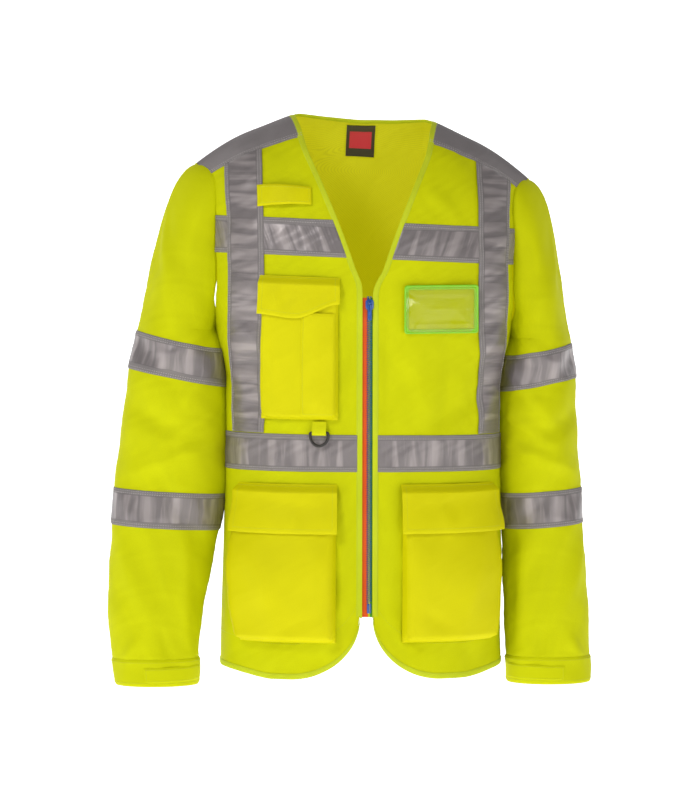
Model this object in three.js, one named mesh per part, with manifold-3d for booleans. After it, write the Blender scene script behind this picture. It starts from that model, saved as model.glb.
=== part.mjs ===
// A long-sleeved high-visibility zip jacket, hanging in the shape of the person who wears it.
// Millimetres, +Z up, the jacket faces -Y, and +X is its wearer's left. The origin is between the two
// shoulders, on the line where they carry the jacket.
//
// One smooth skin describes the body of the jacket and another each sleeve. A sewn piece is a thin slab laid
// on a skin, between a lower and an upper distance from it, so that the layers of cloth never meet.
import * as THREE from "three";
import { mergeVertices } from "three/addons/utils/BufferGeometryUtils.js";
import Module from "manifold-3d";

const wasm = await Module();
wasm.setup();

// ---------------------------------------------------------------- driving dimensions
const DEG = Math.PI / 180;
const SIDE = Math.PI / 2; // the turn at which front and back meet
const CLOTH = 2; // a layer of cloth with its lining
const SEAM = 1; // free space between two pieces that are sewn together
const TAPE_WIDTH = 50; // reflective tape
const LAYER_1 = [1.2, 2.2]; // distances from the skin of a tape, and of a tape that crosses another
const LAYER_2 = [3.2, 4.4];
const BINDING = 8;

// heights
const HEM = -757;
const HEM_SIDE_RISE = 15;
const HEM_BACK_ARCH = 50;
const HEM_CURVE_RISE = 85;
const HEM_CURVE = [14, 110]; // distances from the middle between which the front corner curves
const WAIST_TAPE_TOP = -423;
const CHEST_TAPE_TOP = -134;
const CHEST = -236; // top of the zip; above this height the body closes towards the shoulders
const ARMPIT = -274;
const ELBOW = -445;
const ZIP_BOTTOM = -666;

// body: half widths, depths and the squareness of its section
const WAIST_HALF = 186;
const CHEST_HALF = 212;
const HEM_HALF = 192;
const FRONT_DEPTH = 138;
const ZIP_SLOPE = 0.0205; // how much shallower the front gets per millimetre down, so the zip is straight
const BACK_DEPTH = 118;
const BACK_WAIST_DEPTH = 108;
const SQUARE = 0.035;
const SHOULDER_Y = 5; // the shoulder seam lies this far behind the origin
const TIP_SPREAD = 20; // the shoulder tip stands this far outside the chest
const SHOULDER_TILT = 0.045; // the left shoulder hangs a little lower
const ARMHOLE_HALF = 105;
const ARMHOLE_DEPTH = 50;

// openings of the body
const NECK_FOOT = 9; // half width of the V where it meets the zip
const NECK_HALF = 96;
const NECK_TOP = 13;
const YOKE_FRONT = 63 * DEG; // where the yoke ends, as an angle up the curve of the shoulder
const YOKE_BACK = 125 * DEG;
const NAPE = 101 * DEG;
const BINDING_CLIMB = 0.065; // the binding's width as such an angle

const HIVIS = 0xccd50c;
const HIVIS_WARM = 0xe0dd10;
const BINDING_GREEN = 0xd3dc62;
const GREY = 0x8e8887;
const YOKE_GREY = 0x837c7c;
const NAVY = 0x23415e;
const BLUE = 0x0b4a9c;

// ---------------------------------------------------------------- small mathematics
const V = (x, y, z) => new THREE.Vector3(x, y, z);
const { lerp, clamp } = THREE.MathUtils;
const ease = (from, to, value) => {
  const t = clamp((value - from) / (to - from), 0, 1);
  return t * t * (3 - 2 * t);
};
const mirror = (p, sign) => V(sign * p.x, p.y, p.z);

// The value where a rising function reaches a target, by halving.
function solve(f, target, low, high) {
  let [a, b] = [low, high];
  for (let i = 0; i < 40; i += 1) {
    const middle = (a + b) / 2;
    if (f(middle) < target) a = middle;
    else b = middle;
  }
  return (a + b) / 2;
}

// A smooth curve through rows of [height, values...] that go down, read at a height.
function along(rows, z) {
  const last = rows.length - 1;
  let i = 0;
  while (i < last - 1 && z < rows[i + 1][0]) i += 1;
  const [p0, p1, p2, p3] = [rows[Math.max(i - 1, 0)], rows[i], rows[i + 1], rows[Math.min(i + 2, last)]];
  const span = p2[0] - p1[0];
  const t = clamp((z - p1[0]) / span, 0, 1);
  const [t2, t3] = [t * t, t * t * t];
  return p1.slice(1).map((from, k) => {
    const to = p2[k + 1];
    const leave = ((to - p0[k + 1]) / (p2[0] - p0[0])) * span;
    const arrive = ((p3[k + 1] - from) / (p3[0] - p1[0])) * span;
    return (2 * t3 - 3 * t2 + 1) * from + (t3 - 2 * t2 + t) * leave + (3 * t2 - 2 * t3) * to + (t3 - t2) * arrive;
  });
}

// The jacket hangs with its left shoulder lower: height falls with X, most at the shoulders.
const hang = (p) => V(p.x, p.y, p.z - SHOULDER_TILT * ease(-560, -120, p.z) * p.x);

// ---------------------------------------------------------------- the skin of the body
// turn is the angle round the body from its front (or back) middle, and a right angle at the side.
const wide = (turn) => (Math.sin(turn) + SQUARE * Math.sin(3 * turn)) / (1 - SQUARE);
const deep = (turn) => (Math.cos(turn) - SQUARE * Math.cos(3 * turn)) / (1 - SQUARE);
const halfWidth = (z) =>
  WAIST_HALF + (CHEST_HALF - WAIST_HALF) * ease(-345, CHEST, z) + (HEM_HALF - WAIST_HALF) * ease(-480, HEM, z);
const frontDepth = (z) => FRONT_DEPTH + ZIP_SLOPE * (z - CHEST);
const backDepth = (z) =>
  BACK_WAIST_DEPTH + (BACK_DEPTH - BACK_WAIST_DEPTH) * (ease(-440, CHEST, z) + ease(-500, HEM, z));
const turnAt = (x, z = CHEST) => solve((t) => halfWidth(Math.min(z, CHEST)) * wide(t), Math.abs(x), 0, SIDE);

// Height of the shoulder line over a point at x.
function shoulderHeight(x) {
  const reach = Math.max(0, Math.abs(x) - 88);
  return NECK_TOP - 0.25 * reach - 0.002 * reach * reach;
}

// climb is 0 at chest height in front, a right angle on the shoulder line and two at chest height behind.
function shoulderSkin(turn, climb) {
  const chestX = CHEST_HALF * wide(turn);
  const spread = TIP_SPREAD * (chestX / CHEST_HALF) ** 7;
  const flat = Math.cos(climb);
  const depth = flat > 0 ? frontDepth(CHEST) : backDepth(CHEST);
  return V(
    chestX + spread * Math.sin(climb) ** 2,
    SHOULDER_Y * (1 - Math.abs(flat)) - depth * deep(turn) * flat,
    lerp(CHEST, shoulderHeight(chestX + spread), Math.sin(climb)),
  );
}

// The point of the skin at a turn and a height; side is 1 in front and -1 behind.
function bodySkin(side, turn, z) {
  if (z > CHEST) {
    const chestX = CHEST_HALF * wide(turn);
    const top = shoulderHeight(chestX + TIP_SPREAD * (chestX / CHEST_HALF) ** 7);
    const climb = Math.asin(clamp((z - CHEST) / (top - CHEST), 0, 1));
    return shoulderSkin(turn, side > 0 ? climb : Math.PI - climb);
  }
  const depth = side > 0 ? frontDepth(z) : backDepth(z);
  return V(halfWidth(z) * wide(turn), -side * depth * deep(turn), z);
}

// The skin as it is seen from the front (side 1) or the back (side -1), at a distance x from the middle.
const seen = (side, x, z) => mirror(bodySkin(side, turnAt(x, z), z), Math.sign(x) || 1);

// ---------------------------------------------------------------- edges of the body
// The turn at which a front or back piece ends at a height: the side seam, or the oval of the armhole.
function outerTurn(side, z) {
  if (z <= ARMPIT) return SIDE;
  const cosine = clamp((z - ARMPIT) / ARMHOLE_HALF - 1, -1, 1);
  const middle = SHOULDER_Y * ease(ARMPIT, ARMPIT + 2 * ARMHOLE_HALF, z);
  const target = middle - side * ARMHOLE_DEPTH * Math.sqrt(1 - cosine ** 4);
  return solve((t) => side * bodySkin(side, t, z).y, side * target, 30 * DEG, SIDE);
}

// The same turn at a climb over the shoulder.
function outerTurnOver(climb) {
  const side = climb < Math.PI / 2 ? 1 : -1;
  let turn = 80 * DEG;
  for (let i = 0; i < 12; i += 1) turn = lerp(turn, outerTurn(side, shoulderSkin(turn, climb).z), 0.6);
  return turn;
}

// The seam of the armhole: angle 0 is its top, a right angle its front and two its foot.
function armhole(angle) {
  const z = ARMPIT + ARMHOLE_HALF * (1 + Math.cos(angle));
  const side = Math.sin(angle) >= 0 ? 1 : -1;
  return bodySkin(side, outerTurn(side, z), z);
}

// Half width of the V neck at a height.
function neckHalf(z) {
  const t = clamp((z - CHEST) / (NECK_TOP - CHEST), 0, 1);
  return NECK_FOOT + NECK_HALF * t ** 1.2 - NECK_FOOT * ease(0.75, 1, t);
}

// The climb of the neckline behind the neck.
const napeLine = (x) => lerp(NAPE, Math.PI / 2, clamp(Math.abs(x) / (NECK_HALF + BINDING), 0, 1) ** 2);

// Height of the hem: the front curves up to the zip, and the back is arched.
function frontHem(x) {
  const reach = clamp((HEM_CURVE[1] - Math.abs(x)) / (HEM_CURVE[1] - HEM_CURVE[0]), 0, 1);
  const curve = HEM_CURVE_RISE * (1 - Math.sqrt(1 - reach * reach));
  return HEM + curve + HEM_SIDE_RISE * ease(100, HEM_HALF, Math.abs(x));
}
const backHem = (turn) => HEM + HEM_SIDE_RISE + HEM_BACK_ARCH * Math.cos(turn) ** 2;

// ---------------------------------------------------------------- the skin of a sleeve
// Rows of [height, middle from the body's middle, half width, half depth, middle behind the origin].
const CAP_END = -288;
const RIGHT_SLEEVE = [
  [CAP_END, 257, 50, 68, 4],
  [-325, 255.5, 60, 67, 3],
  [-388, 259.5, 67.5, 64, 1],
  [-453, 264, 72, 60, -2],
  [-519, 269, 74, 57, -6],
  [-585, 276, 71, 54, -10],
  [-651, 285, 66, 52, -14],
  [-717, 288.5, 59.5, 49, -17],
  [-749, 286, 57, 47, -19],
  [-773, 285, 55, 46, -20],
];
const LEFT_SLEEVE = [
  [CAP_END, 246, 39, 70, 4],
  [-325, 242.5, 46.5, 70, 3],
  [-388, 243, 50, 69, 1],
  [-453, 244.5, 52.5, 67, -2],
  [-519, 246, 53.5, 64, -6],
  [-585, 248.5, 55.5, 61, -10],
  [-651, 252, 57, 57, -14],
  [-717, 254.5, 57, 53, -17],
  [-749, 256, 56, 50, -19],
  [-773, 256, 56, 49, -20],
];
const SLEEVES = {
  right: { sign: -1, rows: RIGHT_SLEEVE, middle: -264 },
  left: { sign: 1, rows: LEFT_SLEEVE, middle: 246 },
};

// angle goes round the sleeve from its outside (0) over the front (a right angle) to the body side.
function tubeSkin(sleeve, angle, z) {
  const [middle, width, depth, back] = along(sleeve.rows, z);
  return V(sleeve.sign * (middle + width * Math.cos(angle)), back - depth * Math.sin(angle), z);
}

// From the armhole to the round of the arm: each line leaves the seam outwards and turns down.
function capSkin(sleeve, angle, t) {
  const seam = armhole(angle);
  const start = V(sleeve.sign * (seam.x + 2.5 * SEAM), seam.y, seam.z);
  const end = tubeSkin(sleeve, angle, CAP_END);
  const long = start.distanceTo(end);
  const [c, s] = [Math.cos(angle), Math.sin(angle)];
  const leave = V(sleeve.sign * (0.6 + 0.4 * c), -0.35 * s, 0.35 * c - 0.65).setLength(0.55 * long);
  const arrive = V(sleeve.sign * 0.16, 0, -1).setLength(long);
  const [t2, t3] = [t * t, t * t * t];
  return start
    .multiplyScalar(2 * t3 - 3 * t2 + 1)
    .addScaledVector(leave, t3 - 2 * t2 + t)
    .addScaledVector(end, 3 * t2 - 2 * t3)
    .addScaledVector(arrive, t3 - t2);
}

// ---------------------------------------------------------------- slabs of cloth
// The normal of a skin at (u, v), by small steps inside the unit square.
function normalOf(skin, u, v) {
  const step = 1e-3;
  const [u0, v0] = [clamp(u, step, 1 - step), clamp(v, step, 1 - step)];
  const across = skin(u0 + step, v0).sub(skin(u0 - step, v0));
  const up = skin(u0, v0 + step).sub(skin(u0, v0 - step));
  return across.cross(up).normalize();
}

const value = (number, u, v) => (typeof number === "function" ? number(u, v) : number);

// A closed solid between two surfaces over the unit square. With loop, u is a full turn. keep says which
// cells of the grid the solid has.
function between(lower, upper, { columns, rows, loop = false, keep = () => true }) {
  const points = [];
  const width = loop ? columns : columns + 1;
  const at = (layer, i, j) => (layer * (rows + 1) + j) * width + (i % width);
  for (const surface of [lower, upper]) {
    for (let j = 0; j <= rows; j += 1) {
      for (let i = 0; i < width; i += 1) points.push(hang(surface(i / columns, j / rows)).toArray());
    }
  }
  const faces = [];
  const quad = (a, b, c, d) => faces.push([a, b, c], [a, c, d]);
  const has = (i, j) => {
    const inside = j >= 0 && j < rows && (loop || (i >= 0 && i < columns));
    return inside && keep((i + columns) % columns, j);
  };
  for (let j = 0; j < rows; j += 1) {
    for (let i = 0; i < columns; i += 1) {
      if (!has(i, j)) continue;
      quad(at(1, i, j), at(1, i + 1, j), at(1, i + 1, j + 1), at(1, i, j + 1));
      quad(at(0, i, j), at(0, i, j + 1), at(0, i + 1, j + 1), at(0, i + 1, j));
      if (!has(i, j - 1)) quad(at(0, i, j), at(0, i + 1, j), at(1, i + 1, j), at(1, i, j));
      if (!has(i, j + 1)) quad(at(0, i + 1, j + 1), at(0, i, j + 1), at(1, i, j + 1), at(1, i + 1, j + 1));
      if (!has(i - 1, j)) quad(at(0, i, j + 1), at(0, i, j), at(1, i, j), at(1, i, j + 1));
      if (!has(i + 1, j)) quad(at(0, i + 1, j), at(0, i + 1, j + 1), at(1, i + 1, j + 1), at(1, i + 1, j));
    }
  }
  return closed(points, faces);
}

// A geometry from points and triangles, turned so that its faces point outwards.
function closed(points, faces) {
  const used = [...new Set(faces.flat())];
  const place = new Map(used.map((name, i) => [name, i]));
  const kept = used.map((name) => points[name]);
  let index = faces.map((face) => face.map((name) => place.get(name)));
  const volume = index.reduce((sum, face) => {
    const [p, q, r] = face.map((i) => V(...kept[i]));
    return sum + p.dot(q.cross(r));
  }, 0);
  if (volume < 0) index = index.map(([a, b, c]) => [a, c, b]);
  const geometry = new THREE.BufferGeometry();
  geometry.setAttribute("position", new THREE.BufferAttribute(new Float32Array(kept.flat()), 3));
  geometry.setIndex(index.flat());
  return geometry;
}

// The skin moved out by a distance. middle is the x of the line that the skin goes round.
function lifted(skin, distance, middle = 0) {
  const probe = skin(0.31, 0.47);
  const away = V(probe.x - middle, probe.y, 60);
  const facing = Math.sign(normalOf(skin, 0.31, 0.47).dot(away));
  return (u, v) => skin(u, v).addScaledVector(normalOf(skin, u, v), facing * value(distance, u, v));
}

const slab = (skin, low, high, grid) =>
  between(lifted(skin, low, grid.middle), lifted(skin, high, grid.middle), grid);

// ---------------------------------------------------------------- solids that are joined or cut
function solid(geometry) {
  const bare = geometry.clone();
  bare.deleteAttribute("normal");
  bare.deleteAttribute("uv");
  const merged = mergeVertices(bare, 1e-4);
  const vertProperties = merged.attributes.position.array;
  const triVerts = new Uint32Array(merged.index.array);
  return new wasm.Manifold(new wasm.Mesh({ numProp: 3, vertProperties, triVerts }));
}

function geometryOf(manifold) {
  const mesh = manifold.getMesh();
  const geometry = new THREE.BufferGeometry();
  geometry.setAttribute("position", new THREE.BufferAttribute(new Float32Array(mesh.vertProperties), 3));
  geometry.setIndex([...mesh.triVerts]);
  return geometry;
}

const cut = (whole, hole) => geometryOf(solid(whole).subtract(solid(hole)));
const join = (...parts) => geometryOf(parts.map(solid).reduce((a, b) => a.add(b)));
const block = (low, high) =>
  new THREE.BoxGeometry(...high.map((h, i) => h - low[i])).translate(...high.map((h, i) => (h + low[i]) / 2));
const rodAlongX = (radius, long) => new THREE.CylinderGeometry(radius, radius, long, 16).rotateZ(Math.PI / 2);

// ---------------------------------------------------------------- the model
const jacket = new THREE.Group();

function add(name, geometry, color, { roughness = 0.85, metalness = 0, frame } = {}) {
  const mesh = new THREE.Mesh(geometry, new THREE.MeshStandardMaterial({ color, roughness, metalness }));
  mesh.name = name;
  if (frame) frame.decompose(mesh.position, mesh.quaternion, mesh.scale);
  jacket.add(mesh);
}

// A frame on the front of the body: X across the skin, Z up it and -Y out of it.
function frameAt(x, z, lift = 0) {
  const skin = (u, v) => seen(1, x + (u - 0.5) * 20, z + (v - 0.5) * 20);
  const out = normalOf(skin, 0.5, 0.5);
  if (out.y > 0) out.negate();
  const across = V(1, 0, 0).addScaledVector(out, -out.x).normalize();
  const inward = out.clone().negate();
  const frame = new THREE.Matrix4().makeBasis(across, inward, across.clone().cross(inward));
  return frame.setPosition(hang(skin(0.5, 0.5).addScaledVector(out, lift)));
}

// ---------------------------------------------------------------- body panels
const EDGES = { right: 9.5, left: 4.5 }; // edge of each front, from the middle of the zip
const LOW_ROWS = 8;
const HIGH_ROWS = 7;
const SHOULDER_EDGE = NECK_HALF + BINDING + SEAM;

// Rows 0 to 1 go from the foot up to chest height, and rows 1 to 2 from there over the shoulder.
function panelSkin(side, sign, { foot, inner, lastClimb }) {
  return (u, v) => {
    const level = (v * (LOW_ROWS + HIGH_ROWS)) / LOW_ROWS;
    if (level <= 1) {
      const z = lerp(foot(lerp(inner(CHEST), SIDE, u)), CHEST, level);
      const turn = lerp(inner(z), outerTurn(side, z) - 0.004, u);
      return mirror(bodySkin(side, turn, z), sign);
    }
    const share = clamp((v * (LOW_ROWS + HIGH_ROWS) - LOW_ROWS) / HIGH_ROWS, 0, 1);
    const climb = lerp(side > 0 ? 0 : Math.PI, lastClimb, share);
    const z = lerp(CHEST, NECK_TOP, Math.sin(climb));
    return mirror(shoulderSkin(lerp(inner(z), outerTurnOver(climb) - 0.004, u), climb), sign);
  };
}

// The free edge of a front: beside the zip, and up the V of the neck.
const freeEdge = (edge, z) => (z > CHEST ? lerp(edge, neckHalf(z), ease(CHEST, CHEST + 40, z)) : edge);

function frontPanel(sign, edge) {
  const inner = (z) => turnAt(freeEdge(edge, z) + BINDING + SEAM, z);
  const foot = (turn) => frontHem(HEM_HALF * wide(turn)) + BINDING + SEAM;
  const skin = panelSkin(1, sign, { foot, inner, lastClimb: YOKE_FRONT - 0.006 });
  return slab(skin, -CLOTH, 0, { columns: 12, rows: LOW_ROWS + HIGH_ROWS });
}

// The back: two halves in one piece, and a tongue between the yokes up to the neck.
function backPanel() {
  const columns = 22;
  const tongue = 4;
  const tongueRows = 4;
  const rows = LOW_ROWS + HIGH_ROWS;
  const half = panelSkin(-1, 1, {
    foot: (turn) => backHem(turn) + BINDING + SEAM,
    inner: () => 0,
    lastClimb: YOKE_BACK + 0.006,
  });
  const edgeTurn = turnAt(SHOULDER_EDGE - SEAM);
  const skin = (u, v) => {
    const [across, sign] = [Math.abs(2 * u - 1), Math.sign(2 * u - 1) || 1];
    const share = (v * (rows + tongueRows)) / rows;
    const edge = edgeTurn / (share > LOW_ROWS / rows ? outerTurnOver(YOKE_BACK) : SIDE);
    const split = tongue / (columns / 2);
    const spread = across < split ? (across / split) * edge : lerp(edge, 1, (across - split) / (1 - split));
    if (share <= 1) return mirror(half(spread, share), sign);
    const turn = Math.min(across / split, 1) * edgeTurn;
    const top = napeLine(CHEST_HALF * wide(turn)) + BINDING_CLIMB + 0.01;
    return mirror(shoulderSkin(turn, lerp(YOKE_BACK + 0.006, top, ((share - 1) * rows) / tongueRows)), sign);
  };
  const keep = (i, j) => j < rows || Math.abs(i + 0.5 - columns / 2) < tongue;
  return slab(skin, -CLOTH, 0, { columns, rows: rows + tongueRows, keep });
}

// The shoulder yoke, from the front over the shoulder line to the back.
function yoke(sign) {
  const skin = (u, v) => {
    const climb = lerp(YOKE_FRONT, YOKE_BACK, v);
    const z = lerp(CHEST, NECK_TOP, Math.sin(climb));
    const inner = turnAt(climb < Math.PI / 2 ? neckHalf(z) + BINDING + SEAM : SHOULDER_EDGE);
    return mirror(shoulderSkin(lerp(inner, outerTurnOver(climb) - 0.004, u), climb), sign);
  };
  return slab(skin, -CLOTH, 0.2, { columns: 7, rows: 8 });
}

add("right_front_panel", frontPanel(-1, EDGES.right), HIVIS);
add("left_front_panel", frontPanel(1, EDGES.left), HIVIS);
add("back_panel", backPanel(), HIVIS);
add("right_shoulder_yoke", yoke(-1), YOKE_GREY);
add("left_shoulder_yoke", yoke(1), YOKE_GREY);

// ---------------------------------------------------------------- sleeves
const SLEEVE_COLUMNS = 20;
const CUFF_TOP = -737;
const CUFF_BOTTOM = -772;
const round = (u) => 2 * Math.PI * u;

function upperSleeve(sleeve) {
  const capShare = 0.55;
  const skin = (u, v) => {
    if (v <= capShare) return capSkin(sleeve, round(u), v / capShare);
    return tubeSkin(sleeve, round(u), lerp(CAP_END, ELBOW, (v - capShare) / (1 - capShare)));
  };
  return slab(skin, -CLOTH, 0, { columns: SLEEVE_COLUMNS, rows: 11, loop: true, middle: sleeve.middle });
}

// A ring of cloth round the sleeve. slant raises its outer side.
function sleeveRing(sleeve, top, bottom, low, high, rows, slant = 0) {
  const skin = (u, v) => tubeSkin(sleeve, round(u), lerp(top, bottom, v) + slant * Math.cos(round(u)));
  return slab(skin, low, high, { columns: SLEEVE_COLUMNS, rows, loop: true, middle: sleeve.middle });
}

// A tab on the cuff, from its sewn end at the body side to its free end on the outer front.
function cuffTab(sleeve) {
  const skin = (u, v) => {
    const angle = lerp(165 * DEG, 70 * DEG, u);
    return tubeSkin(sleeve, angle, lerp(-765, -744, v) - 2 * u);
  };
  return slab(skin, 1.2, 3.2, { columns: 7, rows: 2, middle: sleeve.middle });
}

for (const [name, sleeve] of Object.entries(SLEEVES)) {
  add(`${name}_upper_sleeve`, upperSleeve(sleeve), HIVIS);
  add(`${name}_forearm_sleeve`, sleeveRing(sleeve, ELBOW - 2, CUFF_TOP + SEAM, -CLOTH, 0, 8), HIVIS);
  add(`${name}_cuff`, sleeveRing(sleeve, CUFF_TOP, CUFF_BOTTOM, -CLOTH, 0.2, 2), HIVIS);
  add(`${name}_cuff_tab`, cuffTab(sleeve), HIVIS);
  const [low, high] = LAYER_1;
  add(`${name}_upper_sleeve_tape`, sleeveRing(sleeve, -305, -305 - TAPE_WIDTH, low, high, 2, 11), GREY);
  add(`${name}_forearm_tape`, sleeveRing(sleeve, -505, -505 - TAPE_WIDTH, low, high, 2, 4), GREY);
}

// ---------------------------------------------------------------- bindings
// A flat piece on the front, between two distances from the middle and two heights.
const strip = (x0, x1, z0, z1, [low, high], { columns = 1, rows = 1 } = {}) =>
  slab((u, v) => seen(1, lerp(x0, x1, u), lerp(z0, z1, v)), low, high, { columns, rows });

const BINDING_LAYER = [-1.4, 0.4];
const BOTTOM_EDGE = HEM + HEM_CURVE_RISE;

function neckBinding(sign, edge) {
  const skin = (u, v) => {
    const climb = lerp(0.02, 89 * DEG, v);
    const z = lerp(CHEST, NECK_TOP, Math.sin(climb));
    return mirror(shoulderSkin(turnAt(freeEdge(edge, z) + BINDING * u), climb), sign);
  };
  return slab(skin, ...BINDING_LAYER, { columns: 1, rows: 12 });
}

function backNeckBinding() {
  const half = NECK_HALF + BINDING;
  const skin = (u, v) => {
    const x = lerp(-half, half, u);
    return mirror(shoulderSkin(turnAt(x), napeLine(x) + BINDING_CLIMB * v), Math.sign(x) || 1);
  };
  return slab(skin, ...BINDING_LAYER, { columns: 12, rows: 1 });
}

function frontHemBinding(sign, edge) {
  const skin = (u, v) => {
    const turn = lerp(turnAt(edge, HEM), SIDE - 0.006, u ** 1.5);
    const x = HEM_HALF * wide(turn);
    return mirror(bodySkin(1, turn, frontHem(x) + BINDING * v), sign);
  };
  return slab(skin, ...BINDING_LAYER, { columns: 16, rows: 1 });
}

function backHemBinding() {
  const skin = (u, v) => {
    const turn = lerp(-SIDE + 0.006, SIDE - 0.006, u);
    return mirror(bodySkin(-1, Math.abs(turn), backHem(turn) + BINDING * v), Math.sign(turn) || 1);
  };
  return slab(skin, ...BINDING_LAYER, { columns: 22, rows: 1 });
}

for (const [name, sign] of [["right", -1], ["left", 1]]) {
  const edge = EDGES[name];
  const [foot, top] = [BOTTOM_EDGE + BINDING + SEAM, CHEST - SEAM];
  const facing = strip(sign * edge, sign * (edge + BINDING), foot, top, BINDING_LAYER);
  add(`${name}_zip_facing`, facing, BINDING_GREEN);
  add(`${name}_neck_binding`, neckBinding(sign, edge), BINDING_GREEN);
  add(`${name}_hem_binding`, frontHemBinding(sign, edge), BINDING_GREEN);
}
add("back_neck_binding", backNeckBinding(), BINDING_GREEN);
add("back_hem_binding", backHemBinding(), BINDING_GREEN);

// ---------------------------------------------------------------- reflective tapes
const TAPE_INNER = 150; // the upright tapes start this far from the middle
const END_TURN = 0.02; // a tape ends this turn short of the side seam or the armhole

// The turn that lies a width further round than another, on a line of the skin.
const further = (point, turn, width) => solve((t) => point(t).distanceTo(point(turn)), width, turn, SIDE);

function uprightTape(side, sign) {
  const lastClimb = side > 0 ? YOKE_FRONT - 0.01 : YOKE_BACK + 0.01;
  const skin = (u, v) => {
    const split = 0.45;
    const z = lerp(WAIST_TAPE_TOP + SEAM, CHEST, Math.min(v / split, 1));
    const climb = lerp(side > 0 ? 0 : Math.PI, lastClimb, clamp((v - split) / (1 - split), 0, 1));
    const point = (turn) => (v < split ? bodySkin(side, turn, z) : shoulderSkin(turn, climb));
    const start = turnAt(TAPE_INNER, z);
    return mirror(point(lerp(start, further(point, start, TAPE_WIDTH - 0.5), u)), sign);
  };
  return slab(skin, ...LAYER_2, { columns: 3, rows: 12 });
}

// A level tape from a free edge to the side seam or the armhole.
function levelTape(sign, edge, top) {
  const skin = (u, v) => {
    const z = lerp(top - TAPE_WIDTH, top, v);
    const inner = turnAt(freeEdge(edge, z) + BINDING + SEAM, z);
    return mirror(bodySkin(1, lerp(inner, outerTurn(1, z) - END_TURN, u), z), sign);
  };
  return slab(skin, ...LAYER_1, { columns: 12, rows: 2 });
}

function backTape(top) {
  const skin = (u, v) => {
    const z = lerp(top - TAPE_WIDTH, top, v);
    const turn = Math.abs(2 * u - 1) * (outerTurn(-1, z) - END_TURN);
    return mirror(bodySkin(-1, turn, z), Math.sign(2 * u - 1) || 1);
  };
  return slab(skin, ...LAYER_1, { columns: 20, rows: 2 });
}

for (const [name, sign] of [["right", -1], ["left", 1]]) {
  add(`${name}_front_tape`, uprightTape(1, sign), GREY);
  add(`${name}_back_tape`, uprightTape(-1, sign), GREY);
  add(`${name}_chest_tape`, levelTape(sign, EDGES[name], CHEST_TAPE_TOP), GREY);
  add(`${name}_waist_tape`, levelTape(sign, EDGES[name], WAIST_TAPE_TOP), GREY);
}
add("back_chest_tape", backTape(CHEST_TAPE_TOP), GREY);
add("back_waist_tape", backTape(WAIST_TAPE_TOP), GREY);

// ---------------------------------------------------------------- zip
const TOOTH_IN = 0.7; // half of the slot that the slider's blade runs in
const TOOTH_OUT = 2.8;
const ZIP_TAPE_OUT = { right: 16, left: 12 };
const TEETH_TOP = CHEST - 2;
const TEETH_BOTTOM = ZIP_BOTTOM + 14;

for (const [name, sign, color] of [["right", -1, 0xe0561c], ["left", 1, 0x1d6a4a]]) {
  const tape = [sign * (TOOTH_OUT + 0.4), sign * ZIP_TAPE_OUT[name]];
  add(`zip_tape_${name}`, strip(...tape, BOTTOM_EDGE + 1, TEETH_TOP, [-3.5, -2.5]), color);
  const row = [sign * TOOTH_IN, sign * TOOTH_OUT];
  add(`zip_teeth_${name}`, strip(...row, TEETH_BOTTOM, TEETH_TOP, [-4.4, -0.7]), NAVY, { roughness: 0.5 });
  add(`zip_stop_${name}`, strip(...row, TEETH_TOP + 0.4, TEETH_TOP + 3, [-4.6, -0.4]), NAVY, { roughness: 0.5 });
}
add("zip_box", strip(-2.9, 0.7, ZIP_BOTTOM, TEETH_BOTTOM - 0.4, [-5, 0.8]), BLUE, { roughness: 0.45 });
add("zip_pin", strip(1.1, 2.9, ZIP_BOTTOM, TEETH_BOTTOM - 0.4, [-4.2, -0.9]), BLUE, { roughness: 0.45 });

const SLIDER_Z = TEETH_TOP - 8;
const BAR_LIFT = 4.8; // the puller's bar stands this far out of the skin
const sliderFrame = frameAt(0.001, SLIDER_Z);

function zipSlider() {
  const front = block([-5.5, -2.5, -7], [5.5, -0.9, 7]);
  const back = block([-5.5, 5.2, -7], [5.5, 6.6, 7]);
  const blade = block([-0.35, -1.2, 2.5], [0.35, 5.6, 7]);
  const post = (x) => block([x - 0.5, -BAR_LIFT - 0.8, 1.4], [x + 0.5, -2.2, 3.6]);
  const posts = [post(-2.3), post(2.3)];
  const bar = rodAlongX(0.8, 5).translate(0, -BAR_LIFT, 2.5);
  return join(front, back, blade, ...posts, bar);
}

function zipPuller() {
  const eye = cut(rodAlongX(2, 2.6), rodAlongX(1.2, 4));
  const blade = block([-2.6, -0.7, -24], [2.6, 0.7, -1.6]);
  return join(eye, blade).translate(0, -BAR_LIFT, 2.5);
}

add("zip_slider", zipSlider(), BLUE, { roughness: 0.4, frame: sliderFrame });
add("zip_puller", zipPuller(), BLUE, { roughness: 0.4, frame: sliderFrame });

// ---------------------------------------------------------------- pockets
// Evenly spaced grid lines drawn towards both ends, so that a pocket's walls stand up in a short way.
const crowd = (t) => t - (0.78 * Math.sin(2 * Math.PI * t)) / (2 * Math.PI);

// A pocket bag sewn down at its sides and foot and open at its top. depth is how far it stands out, at the
// foot and at the mouth.
function pocketBag([x0, x1], [z0, z1], [footDepth, mouthDepth], { base = 1.5, columns = 11, rows = 8 } = {}) {
  const skin = (u, v) => seen(1, lerp(x0, x1, crowd(u)), lerp(z0, z1, 1 - Math.cos((v * Math.PI) / 2) ** 1.2));
  const rise = (u, v) => {
    const up = 1 - Math.cos((v * Math.PI) / 2) ** 1.2;
    const wall = ease(0, 0.1, Math.min(crowd(u), 1 - crowd(u))) * ease(0, 0.08, up);
    return base + wall * lerp(footDepth, mouthDepth, ease(0.45, 1, up));
  };
  return slab(skin, rise, (u, v) => rise(u, v) + 1.6, { columns, rows });
}

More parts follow.
